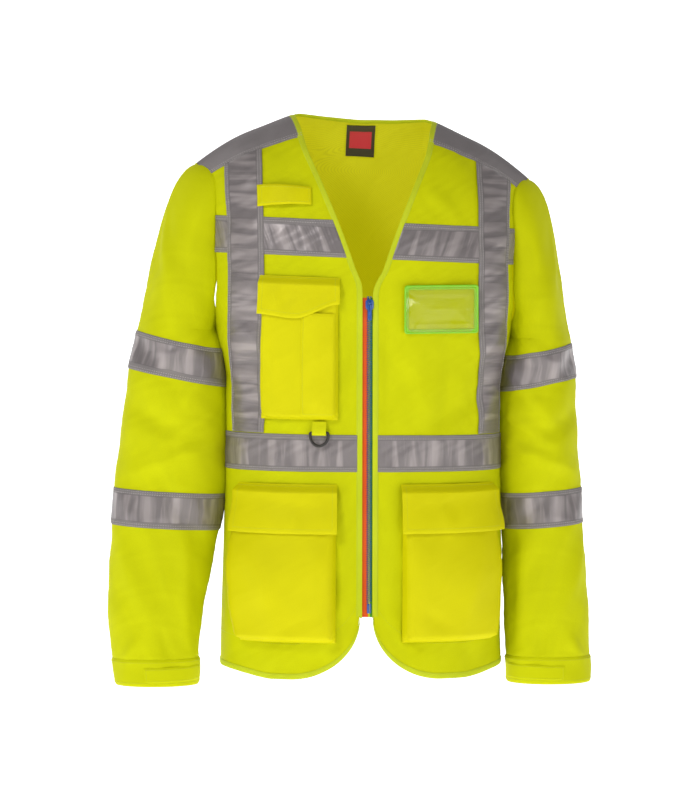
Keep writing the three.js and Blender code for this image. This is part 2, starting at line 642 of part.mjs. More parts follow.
// A flap sewn along its top. stand gives its distance from the skin by the way down from the seam.
function flap([x0, x1], top, long, stand, { columns = 8 } = {}) {
  const skin = (u, v) => seen(1, lerp(x0, x1, u), top - value(long, u) * v);
  const low = (u, v) => stand(value(long, u) * v);
  return slab(skin, low, (u, v) => low(u, v) + 1.8, { columns, rows: 5 });
}

const LOWER_POCKET = { inner: 43, outer: 171, foot: -706, mouth: -508, seam: -490, flapLong: 66 };
for (const [name, sign] of [["right", -1], ["left", 1]]) {
  const { inner, outer, foot, mouth, seam, flapLong } = LOWER_POCKET;
  const bag = pocketBag([sign * (inner + 2), sign * (outer - 2)], [foot, mouth], [20, 6]);
  add(`${name}_lower_pocket`, bag, HIVIS_WARM);
  const stand = (down) => 2 + 10 * ease(0, 12, down) + 9 * ease(12, flapLong, down);
  add(`${name}_pocket_flap`, flap([sign * inner, sign * outer], seam, flapLong, stand), HIVIS_WARM);
}

const CHEST_POCKET = { inner: -40, outer: -146, foot: -403, mouth: -224, seam: -212 };
{
  const { inner, outer, foot, mouth, seam } = CHEST_POCKET;
  add("chest_pocket", pocketBag([outer + 2, inner - 2], [foot, mouth], [9, 5]), HIVIS_WARM);
  const onTheBag = { base: 12.4, columns: 6, rows: 6 };
  add("pen_pocket", pocketBag([-90, inner - 8], [foot + 14, -276], [6, 5], onTheBag), HIVIS_WARM);
  // The flap is longest a third of the way in, and shortest at the zip side.
  const long = (u) => 50 + 5 * ease(0, 0.45, u) - 20 * ease(0.45, 1, u);
  const stand = (down) => 2 + 8 * ease(0, 12, down) + 5 * ease(12, 60, down);
  add("chest_pocket_flap", flap([outer, inner], seam, long, stand), HIVIS_WARM);
}

// ---------------------------------------------------------------- badge pocket
const BADGE = { x: 97.5, z: -249, wide: 105, high: 66 };
const badgePlate = (inset, low, high) => {
  const [w, h] = [BADGE.wide / 2 - inset, BADGE.high / 2 - inset];
  return block([-w, -high, -h], [w, -low, h]);
};
const badgeFrame = frameAt(BADGE.x, BADGE.z);
const badgeBorder = cut(badgePlate(0, 2.8, 3.8), badgePlate(6, 2, 5));
add("badge_pocket_back", badgePlate(0, 1.2, 2.4), HIVIS, { frame: badgeFrame });
add("badge_pocket_border", badgeBorder, 0x91cd00, { roughness: 0.3, frame: badgeFrame });
add("badge_pocket_window", badgePlate(2, 4.2, 5), 0xdfe8c0, { roughness: 0.1, frame: badgeFrame });

// ---------------------------------------------------------------- microphone tab
const MIC = { sewn: -148, free: -77, foot: [-121, -115], top: [-92, -92] };
const micSkin = (end) => (u, v) =>
  seen(1, lerp(MIC.sewn, end, u), lerp(lerp(...MIC.foot, u), lerp(...MIC.top, u), v));
const micLift = (u) => 2.8 + 6 * Math.sin(Math.PI * u);
add("mic_tab_patch", slab(micSkin(-129), ...LAYER_1, { columns: 2, rows: 2 }), HIVIS);
add("mic_tab", slab(micSkin(MIC.free), micLift, (u) => micLift(u) + 1.6, { columns: 8, rows: 2 }), HIVIS);

// ---------------------------------------------------------------- D-ring under the chest pocket
const RING = { x: -67, z: -420, lift: 7, wire: 1.9, half: 12.5, drop: 18 };
const ringFrame = frameAt(RING.x, RING.z, RING.lift);

function dRing() {
  const circle = new THREE.Shape().absarc(0, 0, RING.wire, 0, 2 * Math.PI);
  const bends = Array.from({ length: 9 }, (_, i) => (Math.PI * i) / 8);
  const route = bends.map((a) => V(RING.half * Math.cos(a), 0, -RING.drop * Math.sin(a) ** 0.8));
  const path = new THREE.CatmullRomCurve3(route);
  const sweep = { extrudePath: path, steps: 20, curveSegments: 6, bevelEnabled: false };
  const bow = new THREE.ExtrudeGeometry(circle, sweep);
  return join(bow, rodAlongX(RING.wire, 2 * RING.half + 2.4));
}

// The webbing goes round the ring's bar and up to the foot of the pocket.
function ringLoop() {
  const half = 9.5;
  const round = rodAlongX(4, 2 * half);
  const strap = block([-half, 1, 0], [half, 4, 15]);
  return cut(join(round, strap), rodAlongX(RING.wire + 0.5, 2 * half + 2));
}

add("d_ring", dRing(), 0x2c2825, { roughness: 0.5, frame: ringFrame });
add("d_ring_loop", ringLoop(), HIVIS_WARM, { frame: ringFrame });

// ---------------------------------------------------------------- neck label
const labelSkin = (u, v) => {
  const x = lerp(-20, 20, u);
  return mirror(shoulderSkin(turnAt(x), lerp(128 * DEG, NAPE + BINDING_CLIMB + 0.03, v)), Math.sign(x) || 1);
};
add("neck_label", slab(labelSkin, -4.2, -3.2, { columns: 2, rows: 3 }), 0x3c322d);

export default jacket;
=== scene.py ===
# %% [markdown]
# # A high-visibility zip jacket
# The jacket is sewn from flat cloth, but it hangs in a smooth round shape. Each piece of cloth is made here as
# a function of two parameters, worked out for a whole grid at once. One skin describes the body and one each
# sleeve, so every tape, pocket and binding is the same skin at another distance, and the layers never cross.

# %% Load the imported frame
import math

import bpy
import numpy as np
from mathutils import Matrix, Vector

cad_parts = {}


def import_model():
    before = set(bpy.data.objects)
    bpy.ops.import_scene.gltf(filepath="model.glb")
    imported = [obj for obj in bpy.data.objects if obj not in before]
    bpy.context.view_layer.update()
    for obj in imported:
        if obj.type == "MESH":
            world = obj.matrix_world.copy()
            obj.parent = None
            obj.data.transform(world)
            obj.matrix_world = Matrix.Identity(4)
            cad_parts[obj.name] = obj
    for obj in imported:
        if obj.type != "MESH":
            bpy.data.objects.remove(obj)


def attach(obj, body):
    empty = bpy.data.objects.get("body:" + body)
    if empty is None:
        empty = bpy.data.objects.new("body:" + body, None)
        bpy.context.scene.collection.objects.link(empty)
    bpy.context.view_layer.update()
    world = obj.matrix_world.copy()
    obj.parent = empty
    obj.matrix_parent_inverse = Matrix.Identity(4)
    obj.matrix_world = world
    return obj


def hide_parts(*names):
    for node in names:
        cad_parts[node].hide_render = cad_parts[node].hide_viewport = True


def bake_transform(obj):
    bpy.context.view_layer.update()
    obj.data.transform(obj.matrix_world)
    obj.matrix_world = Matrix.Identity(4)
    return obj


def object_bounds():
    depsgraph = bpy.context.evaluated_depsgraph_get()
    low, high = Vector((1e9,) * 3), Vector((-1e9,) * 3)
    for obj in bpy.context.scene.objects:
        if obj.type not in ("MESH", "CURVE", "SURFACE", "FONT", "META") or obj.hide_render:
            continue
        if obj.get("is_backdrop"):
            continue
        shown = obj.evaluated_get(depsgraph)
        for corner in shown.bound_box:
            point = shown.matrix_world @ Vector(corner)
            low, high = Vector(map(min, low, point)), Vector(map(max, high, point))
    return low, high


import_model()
cad_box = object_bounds()

# %% [markdown]
# ## The skin of the body
# All lengths are in millimetres until a mesh is made. A section of the body is a slightly squared oval. Above
# the top of the zip the front climbs a quarter turn to the shoulder line, and the back comes a quarter turn
# down. A jacket could be sculpted or simulated, but a formula keeps every layer parallel to the next.

# %% Sizes and small mathematics
DEG = math.pi / 180
SIDE = math.pi / 2
HEM, HEM_SIDE_RISE, HEM_BACK_ARCH, HEM_CURVE_RISE = -757, 11, 50, 85
HEM_CURVE = (14, 110)
WAIST_TAPE_TOP, CHEST_TAPE_TOP, TAPE_WIDTH = -423, -134, 50
CHEST, ARMPIT, ZIP_BOTTOM = -236, -274, -666
WAIST_HALF, CHEST_HALF, HEM_HALF = 186, 212, 192
FRONT_DEPTH, ZIP_SLOPE, BACK_DEPTH, BACK_WAIST_DEPTH = 138, 0.0205, 118, 108
SQUARE, SHOULDER_Y, TIP_SPREAD, SHOULDER_TILT = 0.035, 5, 20, 0.045
ARMHOLE_HALF, ARMHOLE_DEPTH = 105, 50
NECK_FOOT, NECK_HALF, NECK_TOP, BINDING = 9, 96, 13, 8
YOKE_FRONT, YOKE_BACK, NAPE, BINDING_CLIMB = 59.5 * DEG, 125 * DEG, 101 * DEG, 0.065
EDGES = {"right": 9.5, "left": 4.5}
HEM_SHIFT = {"right": 2, "left": 9}  # the curved corner starts this much nearer the zip than HEM_CURVE says


print("from shoulder to hem, mm:", NECK_TOP - HEM)


def lerp(a, b, t):
    return a + (b - a) * t


def ease(a, b, x):
    """A smooth step from 0 at a to 1 at b: 3 t^2 - 2 t^3."""
    t = np.clip((x - a) / (b - a), 0, 1)
    return t * t * (3 - 2 * t)


def stack(x, y, z):
    return np.stack(np.broadcast_arrays(x, y, z), axis=-1).astype(float)


def mirror(p, sign):
    return p * stack(sign, 1.0, 1.0)


def hang(p):
    """The left shoulder is lower: height falls with x, most at the shoulders."""
    drop = SHOULDER_TILT * ease(-560, -120, p[..., 2]) * p[..., 0]
    return p - stack(0, 0, drop)


# %% The skin as a function
def wide(turn):
    return (np.sin(turn) + SQUARE * np.sin(3 * turn)) / (1 - SQUARE)


def deep(turn):
    return (np.cos(turn) - SQUARE * np.cos(3 * turn)) / (1 - SQUARE)


def half_width(z):
    chest = (CHEST_HALF - WAIST_HALF) * ease(-345, CHEST, z)
    return WAIST_HALF + chest + (HEM_HALF - WAIST_HALF) * ease(-480, HEM, z)


def front_depth(z):
    return FRONT_DEPTH + ZIP_SLOPE * (z - CHEST)


def back_depth(z):
    return BACK_WAIST_DEPTH + (BACK_DEPTH - BACK_WAIST_DEPTH) * (ease(-440, CHEST, z) + ease(-500, HEM, z))


TURNS = np.linspace(0, SIDE, 721)


def turn_at(x, z=CHEST):
    """The turn at which the skin is x from the middle, read backwards from a table of widths."""
    return np.interp(np.abs(x) / half_width(np.minimum(z, CHEST)), wide(TURNS), TURNS)


def shoulder_height(x):
    reach = np.maximum(0, np.abs(x) - 88)
    hollow = 3 * np.exp(-(((np.abs(x) - 135) / 32) ** 2))
    return NECK_TOP - 0.25 * reach - 0.002 * reach**2 - hollow


def shoulder_skin(turn, climb):
    """x from the chest's width, height from chest to shoulder by the sine of climb, depth by its cosine."""
    chest_x = CHEST_HALF * wide(turn)
    spread = TIP_SPREAD * (chest_x / CHEST_HALF) ** 7
    flat = np.cos(climb)
    depth = np.where(flat > 0, front_depth(CHEST), back_depth(CHEST))
    return stack(
        chest_x + spread * np.sin(climb) ** 2,
        SHOULDER_Y * (1 - np.abs(flat)) - depth * deep(turn) * flat,
        lerp(CHEST, shoulder_height(chest_x + spread), np.sin(climb)),
    )


def body_skin(side, turn, z):
    """The skin at a turn round the body and a height. side is 1 in front and -1 behind."""
    low_z = np.minimum(z, CHEST)
    depth = front_depth(low_z) if side > 0 else back_depth(low_z)
    low = stack(half_width(low_z) * wide(turn), -side * depth * deep(turn), low_z)
    chest_x = CHEST_HALF * wide(turn)
    top = shoulder_height(chest_x + TIP_SPREAD * (chest_x / CHEST_HALF) ** 7)
    climb = np.arcsin(np.clip((z - CHEST) / (top - CHEST), 0, 1))
    high = shoulder_skin(turn, climb if side > 0 else math.pi - climb)
    return np.where((np.asarray(z) > CHEST)[..., None] if np.ndim(z) else z > CHEST, high, low)


def seen(side, x, z):
    return mirror(body_skin(side, turn_at(x, z), z), np.where(x < 0, -1.0, 1.0))


print("half width and depth of the chest, mm:", half_width(CHEST), front_depth(CHEST))

# %% The edges of the body
HEIGHTS = np.linspace(ARMPIT, ARMPIT + 2 * ARMHOLE_HALF, 240)


def armhole_turns(side):
    """For each height, the turn where the skin crosses the oval of the armhole, found by halving."""
    cosine = np.clip((HEIGHTS - ARMPIT) / ARMHOLE_HALF - 1, -1, 1)
    middle = SHOULDER_Y * ease(HEIGHTS[0], HEIGHTS[-1], HEIGHTS)
    target = middle - side * ARMHOLE_DEPTH * np.sqrt(1 - cosine**4)
    low, high = np.full(HEIGHTS.shape, 30 * DEG), np.full(HEIGHTS.shape, SIDE)
    for _ in range(32):
        half = (low + high) / 2
        below = side * body_skin(side, half, HEIGHTS)[..., 1] < side * target
        low, high = np.where(below, half, low), np.where(below, high, half)
    return low


ARMHOLE = {side: armhole_turns(side) for side in (1, -1)}


def outer_turn(side, z):
    return np.where(z <= ARMPIT, SIDE, np.interp(z, HEIGHTS, ARMHOLE[side]))


CLIMBS = np.linspace(0, math.pi, 241)
OVER = np.full(CLIMBS.shape, 80 * DEG)
for _ in range(14):
    reached = shoulder_skin(OVER, CLIMBS)[..., 2]
    goal = np.where(CLIMBS < SIDE, outer_turn(1, reached), outer_turn(-1, reached))
    OVER = lerp(OVER, goal, 0.6)


def outer_turn_over(climb):
    return np.interp(climb, CLIMBS, OVER)


def armhole(angle):
    """The seam of the armhole: angle 0 is its top and a right angle its front."""
    z = ARMPIT + ARMHOLE_HALF * (1 + np.cos(angle))
    front = body_skin(1, outer_turn(1, z), z)
    back = body_skin(-1, outer_turn(-1, z), z)
    return np.where((np.sin(angle) >= 0)[..., None], front, back)


def neck_half(z):
    t = np.clip((z - CHEST) / (NECK_TOP - CHEST), 0, 1)
    return NECK_FOOT + NECK_HALF * t**1.2 - NECK_FOOT * ease(0.75, 1, t)


def free_edge(edge, z):
    """The free edge of a front: beside the zip, and up the V of the neck."""
    return np.where(z > CHEST, lerp(edge, neck_half(z), ease(CHEST, CHEST + 40, z)), edge)


def nape_line(x):
    return lerp(NAPE, SIDE, np.clip(np.abs(x) / (NECK_HALF + BINDING), 0, 1) ** 2)


def front_hem(x, shift=0.0):
    """A quarter of an oval up to the zip, and a small rise to the side seam."""
    reach = np.clip((HEM_CURVE[1] - shift - np.abs(x)) / (HEM_CURVE[1] - HEM_CURVE[0]), 0, 1)
    curve = HEM_CURVE_RISE * (1 - np.sqrt(1 - reach**2))
    return HEM + curve + HEM_SIDE_RISE * ease(130, HEM_HALF, np.abs(x))


def back_hem(turn):
    return HEM + HEM_SIDE_RISE + HEM_BACK_ARCH * np.cos(turn) ** 2


print("armhole turns in front, degrees:", np.round(ARMHOLE[1][::60] / DEG))

# %% [markdown]
# ## The sleeves
# A sleeve leaves the armhole outwards and turns down into a tube whose section changes with height. The tube
# could be lofted between curves; here a cubic through a few rows gives any height at once, so tapes and cuffs
# can ask for the same surface.

# %% The skin of a sleeve
CAP_END = -288
# Rows of height, middle, half width, half depth and middle behind the origin.
SLEEVE_ROWS = {
    "right": [
        (CAP_END, 257, 50, 68, 4), (-325, 255.5, 60, 67, 3), (-388, 259.5, 67.5, 64, 1),
        (-453, 264, 72, 60, -2), (-519, 269, 74, 57, -6), (-585, 276, 71, 54, -10),
        (-651, 285, 66, 52, -14), (-717, 288.5, 59.5, 49, -17),
        (-749, 286, 57, 47, -19), (-773, 285, 55, 46, -20),
    ],
    "left": [
        (CAP_END, 246, 39, 70, 4), (-325, 242.5, 46.5, 70, 3), (-388, 243, 50, 69, 1),
        (-453, 244.5, 52.5, 67, -2), (-519, 246, 53.5, 64, -6), (-585, 248.5, 55.5, 61, -10),
        (-651, 252, 57, 57, -14), (-717, 254.5, 57, 53, -17),
        (-749, 256, 56, 50, -19), (-773, 256, 56, 49, -20),
    ],
}
SIGN = {"right": -1, "left": 1}


def smooth_rows(rows, z):
    """A cubic through the rows, each end of a stretch sloped as the chord of its two neighbours."""
    table = np.array(rows, float)
    height = table[:, 0]
    i = np.clip(np.searchsorted(-height, -z, side="right") - 1, 0, len(height) - 2)
    before, after = np.maximum(i - 1, 0), np.minimum(i + 2, len(height) - 1)
    span = height[i + 1] - height[i]
    t = np.clip((z - height[i]) / span, 0, 1)[..., None]
    leave = (table[i + 1] - table[before]) / (height[i + 1] - height[before])[..., None] * span[..., None]
    arrive = (table[after] - table[i]) / (height[after] - height[i])[..., None] * span[..., None]
    p, q = table[i], table[i + 1]
    out = (2 * t**3 - 3 * t**2 + 1) * p + (t**3 - 2 * t**2 + t) * leave
    out = out + (3 * t**2 - 2 * t**3) * q + (t**3 - t**2) * arrive
    return np.moveaxis(out[..., 1:], -1, 0)


def tube_skin(name, angle, z):
    """An oval at each height. angle goes from the outside (0) over the front to the body side."""
    middle, width, depth, back = smooth_rows(SLEEVE_ROWS[name], z)
    return stack(SIGN[name] * (middle + width * np.cos(angle)), back - depth * np.sin(angle), z)


def cap_skin(name, angle, t):
    """A cubic from each point of the armhole to the top of the tube."""
    seam = armhole(angle)
    start = stack(SIGN[name] * (seam[..., 0] + 0.5), seam[..., 1], seam[..., 2])
    end = tube_skin(name, angle, np.full(np.shape(angle), float(CAP_END)))
    long = np.linalg.norm(end - start, axis=-1)[..., None]
    c, s = np.cos(angle), np.sin(angle)
    leave = stack(SIGN[name] * (0.6 + 0.4 * c), -0.35 * s, 0.35 * c - 0.65)
    leave = leave / np.linalg.norm(leave, axis=-1)[..., None] * 0.55 * long
    arrive = stack(SIGN[name] * 0.16, 0 * c, -1 + 0 * c)
    arrive = arrive / np.linalg.norm(arrive, axis=-1)[..., None] * long
    t = np.asarray(t)[..., None]
    out = (2 * t**3 - 3 * t**2 + 1) * start + (t**3 - 2 * t**2 + t) * leave
    return out + (3 * t**2 - 2 * t**3) * end + (t**3 - t**2) * arrive


print("rows of a sleeve:", len(SLEEVE_ROWS["right"]))

# %% [markdown]
# ## Folds
# Cloth over a body isn't smooth: it pulls in long soft folds from the armpits and sags between its seams. Each
# fold is a soft ridge along a straight stretch, and a little wandering unevenness lies over everything. A fold
# belongs to a place on the skin, so tapes and pockets rise and fall with the cloth under them.

# %% Folds of the body and the sleeves
# Each fold: from (across, height) to (across, height), width and height of the ridge.
FRONT_FOLDS = [
    (-186, -262, -120, -330, 13, 3.2), (-188, -300, -150, -410, 11, 2.8), (-186, -345, -120, -420, 12, -2.4),
    (186, -262, 128, -340, 13, 3.4), (188, -300, 150, -415, 11, 3.0), (184, -350, 60, -425, 14, -2.6),
    (60, -292, 80, -420, 15, 2.4), (112, -300, 104, -420, 12, -2.2), (-20, -250, -34, -415, 9, -1.6),
    (26, -262, 22, -410, 9, -1.8), (-120, -40, -150, -130, 14, 1.6), (125, -45, 150, -125, 14, 1.8),
    (-60, -70, -120, -128, 12, 1.4), (75, -80, 130, -130, 11, 1.6), (-40, -478, -34, -660, 12, 2.6),
    (36, -478, 30, -665, 12, 2.6), (-186, -480, -176, -735, 10, 2.4), (184, -480, 178, -730, 10, 2.4),
    (-120, -712, -150, -752, 13, 3.0), (-70, -715, -60, -752, 12, -2.6), (70, -712, 62, -752, 12, 3.0),
    (135, -712, 150, -752, 12, -2.6), (-34, -640, -70, -735, 10, 2.0), (32, -640, 74, -735, 10, -2.0),
]
BACK_FOLDS = [
    (-186, -270, -90, -400, 16, 4.0), (186, -270, 90, -400, 16, 4.0), (-40, -200, -60, -420, 20, 3.0),
    (50, -200, 40, -415, 20, -3.0), (0, -480, -20, -680, 22, 4.0), (-110, -480, -120, -720, 18, -4.0),
    (105, -480, 125, -720, 18, 4.0), (-160, -60, -120, -130, 16, 2.4), (160, -60, 120, -130, 16, 2.4),
    (-90, -260, -150, -330, 14, -3.0), (95, -255, 150, -335, 14, -3.0), (-170, -480, -160, -730, 12, 3.0),
]
# On a sleeve the place across is 60 mm for each radian round it.
SLEEVE_FOLDS = [
    (30, -110, 95, -250, 14, 3.6), (150, -262, 60, -345, 13, 4.2), (165, -300, 70, -425, 13, 3.8),
    (20, -300, 110, -372, 15, -3.0), (160, -385, 60, -455, 12, 4.6), (165, -432, 40, -478, 11, 4.4),
    (30, -392, 130, -438, 13, -3.6), (20, -560, 90, -700, 14, 3.4), (120, -560, 150, -730, 12, 3.4),
    (60, -470, 170, -600, 14, -2.6), (70, -700, 40, -736, 10, 3.4), (100, -690, 118, -736, 9, -3.2),
    (10, -180, 20, -420, 18, 2.6), (240, -280, 330, -430, 18, 4.6), (330, -420, 230, -520, 18, 4.4),
    (250, -560, 300, -720, 16, -4.2), (200, -300, 290, -330, 16, -3.6), (0, -470, 60, -560, 14, 2.4),
]


def ridges(folds, across, z, around=None):
    """The sum of all ridges: height times a bell of the distance, fading towards both ends of the stretch."""
    total = np.zeros(np.broadcast(across, z).shape)
    for x0, z0, x1, z1, width, height in folds:
        dx, dz = x1 - x0, z1 - z0
        offset = across - x0
        if around:
            offset = (offset + around / 2 - dx / 2) % around - around / 2 + dx / 2
        t = (offset * dx + (z - z0) * dz) / (dx * dx + dz * dz)
        inside = np.clip(t, 0, 1)
        away = np.hypot(offset - inside * dx, z - z0 - inside * dz)
        total += height * np.exp(-((away / width) ** 2)) * (0.35 + 0.65 * np.sin(math.pi * inside))
    return total


def wander(a, b, size):
    """Soft unevenness from a few crossed waves, from about -1 to 1."""
    a, b = a / size, b / size
    wave = np.sin(a + 1.7 * np.sin(0.6 * b + 0.4)) * np.cos(0.9 * b - 1.1 * np.sin(0.5 * a))
    return 0.6 * wave + 0.4 * np.sin(2.3 * a - 1.9 * b + 1.2 * np.sin(1.1 * a))


def body_fold(p):
    x, y, z = p[..., 0], p[..., 1], p[..., 2]
    front = ridges(FRONT_FOLDS, x, z) + 0.9 * wander(x, z, 22) + 0.35 * wander(z, x, 7)
    back = ridges(BACK_FOLDS, x, z) + 1.4 * wander(x, z, 26) + 0.35 * wander(z, x, 7)
    fading = ease(0, 45, np.abs(y - SHOULDER_Y)) * ease(0, 26, np.abs(x))
    # Below the armpit the sides stand out a little, against the sleeves.
    stand = np.where(x < 0, 6.5, 4.0 * ease(-700, -560, z))
    sides = ease(140, 186, np.abs(x)) * ease(ARMPIT + 20, ARMPIT - 25, z) * stand
    return 1.25 * np.where(y < 0, front, back) * fading + sides


def sleeve_fold(name):
    def fold(p):
        z = p[..., 2]
        middle, _, _, back = smooth_rows(SLEEVE_ROWS[name], np.minimum(z, CAP_END))
        angle = np.arctan2(back - p[..., 1], SIGN[name] * p[..., 0] - middle) % (2 * math.pi)
        across = 60 * angle
        cap = 1 - ease(-230, -120, z) * 0.75
        uneven = 1.0 * wander(60 * np.cos(angle), z, 20) + 0.4 * wander(z, 60 * np.sin(angle), 8)
        # The sleeve is a little fuller on its outside, and above the elbow against the body too.
        outside, inside = np.maximum(np.cos(angle), 0), np.maximum(-np.cos(angle), 0)
        fuller = ease(-262, -305, z) * (3.5 * outside + 4.5 * inside * ease(-560, -500, z))
        folds = 1.25 * ridges(SLEEVE_FOLDS, across, z, 120 * math.pi) + uneven
        return folds * cap * ease(-776, -752, z) + fuller

    return fold


print("folds in front, behind and on a sleeve:", len(FRONT_FOLDS), len(BACK_FOLDS), len(SLEEVE_FOLDS))

# %% [markdown]
# ## From a skin to a mesh
# A piece of cloth is a closed shell: an upper and a lower layer at two distances from the skin, joined all
# round. Its edges roll down a little, as a turned seam does. The UV map holds the real length along and across
# the cloth in metres, so weave and stitches keep their size on every piece.

# %% Shells of cloth
def normals(skin, u, v):
    """The cross product of the skin's two directions, by small steps inside the unit square."""
    step = 1e-3
    u, v = np.clip(u, step, 1 - step), np.clip(v, step, 1 - step)
    across = skin(u + step, v) - skin(u - step, v)
    up = skin(u, v + step) - skin(u, v - step)
    n = np.cross(across, up)
    return n / np.maximum(np.linalg.norm(n, axis=-1), 1e-9)[..., None]


def surface(skin, fold, middle=0.0):
    """place(u, v, lift) for a skin with folds. middle is the x of the line that the skin goes round."""
    u, v = np.array([0.31]), np.array([0.47])
    probe = skin(u, v)[0]
    facing = np.sign(np.dot(normals(skin, u, v)[0], [probe[0] - middle, probe[1], 60]))

    def place(u, v, lift):
        p = skin(u, v)
        n = facing * normals(skin, u, v)
        return hang(p + n * (lift + fold(p))[..., None])

    return place


def value(number, u, v):
    return number(u, v) if callable(number) else np.full(u.shape, float(number))


def lengths(p, axis):
    """Running length along one direction of a grid of points."""
    step = np.linalg.norm(np.diff(p, axis=axis), axis=-1)
    zero = np.zeros_like(np.take(step, [0], axis=axis))
    return np.concatenate([zero, np.cumsum(step, axis=axis)], axis=axis)


print("normals and lengths come from", normals.__name__, "and", lengths.__name__)


# %% One object from its parts
def make_mesh(name, parts, materials):
    """One object from parts: (vertices in mm, faces, uv for each corner, material number)."""
    mesh = bpy.data.meshes.new(name)
    verts = np.concatenate([part[0].reshape(-1, 3) for part in parts]) / 1000
    mesh.vertices.add(len(verts))
    mesh.vertices.foreach_set("co", verts.astype(np.float32).ravel())
    corners, totals, uvs, slots, first = [], [], [], [], 0
    for points, faces, uv, slot in parts:
        corners.append((faces + first).ravel())
        totals.append(np.full(len(faces), faces.shape[1]))
        uvs.append(uv.reshape(-1, 2))
        slots.append(np.full(len(faces), slot) if np.ndim(slot) == 0 else slot)
        first += points.size // 3
    corners, totals = np.concatenate(corners), np.concatenate(totals)
    mesh.loops.add(len(corners))
    mesh.loops.foreach_set("vertex_index", corners.astype(np.int32))
    mesh.polygons.add(len(totals))
    mesh.polygons.foreach_set("loop_start", (np.cumsum(totals) - totals).astype(np.int32))
    mesh.polygons.foreach_set("material_index", np.concatenate(slots).astype(np.int32))
    mesh.polygons.foreach_set("use_smooth", np.ones(len(totals), bool))
    layer = mesh.uv_layers.new(name="cloth")
    layer.data.foreach_set("uv", np.concatenate(uvs).astype(np.float32).ravel())
    mesh.update(calc_edges=True)
    mesh.validate()
    mesh.set_sharp_from_angle(angle=math.radians(55))
    for material in materials:
        mesh.materials.append(material)
    piece = bpy.data.objects.new(name, mesh)
    bpy.context.scene.collection.objects.link(piece)
    return piece


print("a mesh is made by", make_mesh.__name__)


# %% A closed shell
def shell_part(place, columns, rows, low, high, loop=False, roll=(0.8, 3.0), spread=None, under=0, turned=0):
    """A closed shell over the unit square. roll is how far and how wide the upper layer dips at the edges,
    spread bends the even grid lines (u, v) to others. turned is the width that v of the UV map is given when
    the cloth runs along v instead of u."""
    u, v = np.meshgrid(np.linspace(0, 1, columns + 1), np.linspace(0, 1, rows + 1))
    if spread:
        u, v = spread(u, v)
    flat = place(u, v, np.zeros(u.shape))
    along, up = lengths(flat, 1), lengths(flat, 0)
    edge = np.minimum(up, up[-1:, :] - up)
    if not loop:
        edge = np.minimum(edge, np.minimum(along, along[:, -1:] - along))
    upper = value(high, u, v) - roll[0] * np.exp(-((edge / roll[1]) ** 2))
    top, bottom = place(u, v, upper), place(u, v, value(low, u, v))
    width = columns if loop else columns + 1
    top, bottom = top[:, :width], bottom[:, :width]
    i, j = np.meshgrid(np.arange(columns), np.arange(rows))
    i, j = i.ravel(), j.ravel()
    ring_i, ring_j = np.stack([i, i + 1, i + 1, i], 1), np.stack([j, j, j + 1, j + 1], 1)
    uv_of = np.stack([along, up] if not turned else [up, along * turned / along[:, -1:]], -1) / 1000
    number = lambda a, b: b * width + a % width
    count = width * (rows + 1)
    faces = [number(ring_i, ring_j), number(ring_i, ring_j)[:, ::-1] + count]
    uvs = [uv_of[ring_j, ring_i], uv_of[ring_j, ring_i][:, ::-1]]
    sides = [
        (np.arange(columns), np.zeros(columns, int), 1, 0),
        (np.arange(columns)[::-1] + 1, np.full(columns, rows), -1, 0),
    ]
    if not loop:
        sides += [
            (np.full(rows, columns), np.arange(rows), 0, 1),
            (np.zeros(rows, int), np.arange(rows)[::-1] + 1, 0, -1),
        ]
    for a, b, da, db in sides:
        here, there = number(a, b), number(a + da, b + db)
        faces.append(np.stack([here + count, there + count, there, here], 1))
        near, far = uv_of[b, a], uv_of[b + db, a + da]
        uvs.append(np.stack([near, far, far, near], 1))
    rim_faces = sum(len(f) for f in faces[2:])
    slots = np.concatenate([np.zeros(len(i)), np.full(len(i), under), np.zeros(rim_faces)])
    points = np.concatenate([top.reshape(-1, 3), bottom.reshape(-1, 3)])
    faces, uvs = np.concatenate(faces), np.concatenate(uvs)
    corner = points[faces]
    volume = np.einsum("ij,ij->i", corner[:, 0], np.cross(corner[:, 1], corner[:, 2])).sum()
    volume += np.einsum("ij,ij->i", corner[:, 0], np.cross(corner[:, 2], corner[:, 3])).sum()
    if volume < 0:
        faces, uvs = faces[:, ::-1], uvs[:, ::-1]
    return points, faces, uvs, slots


print("a cloth is made by", shell_part.__name__)


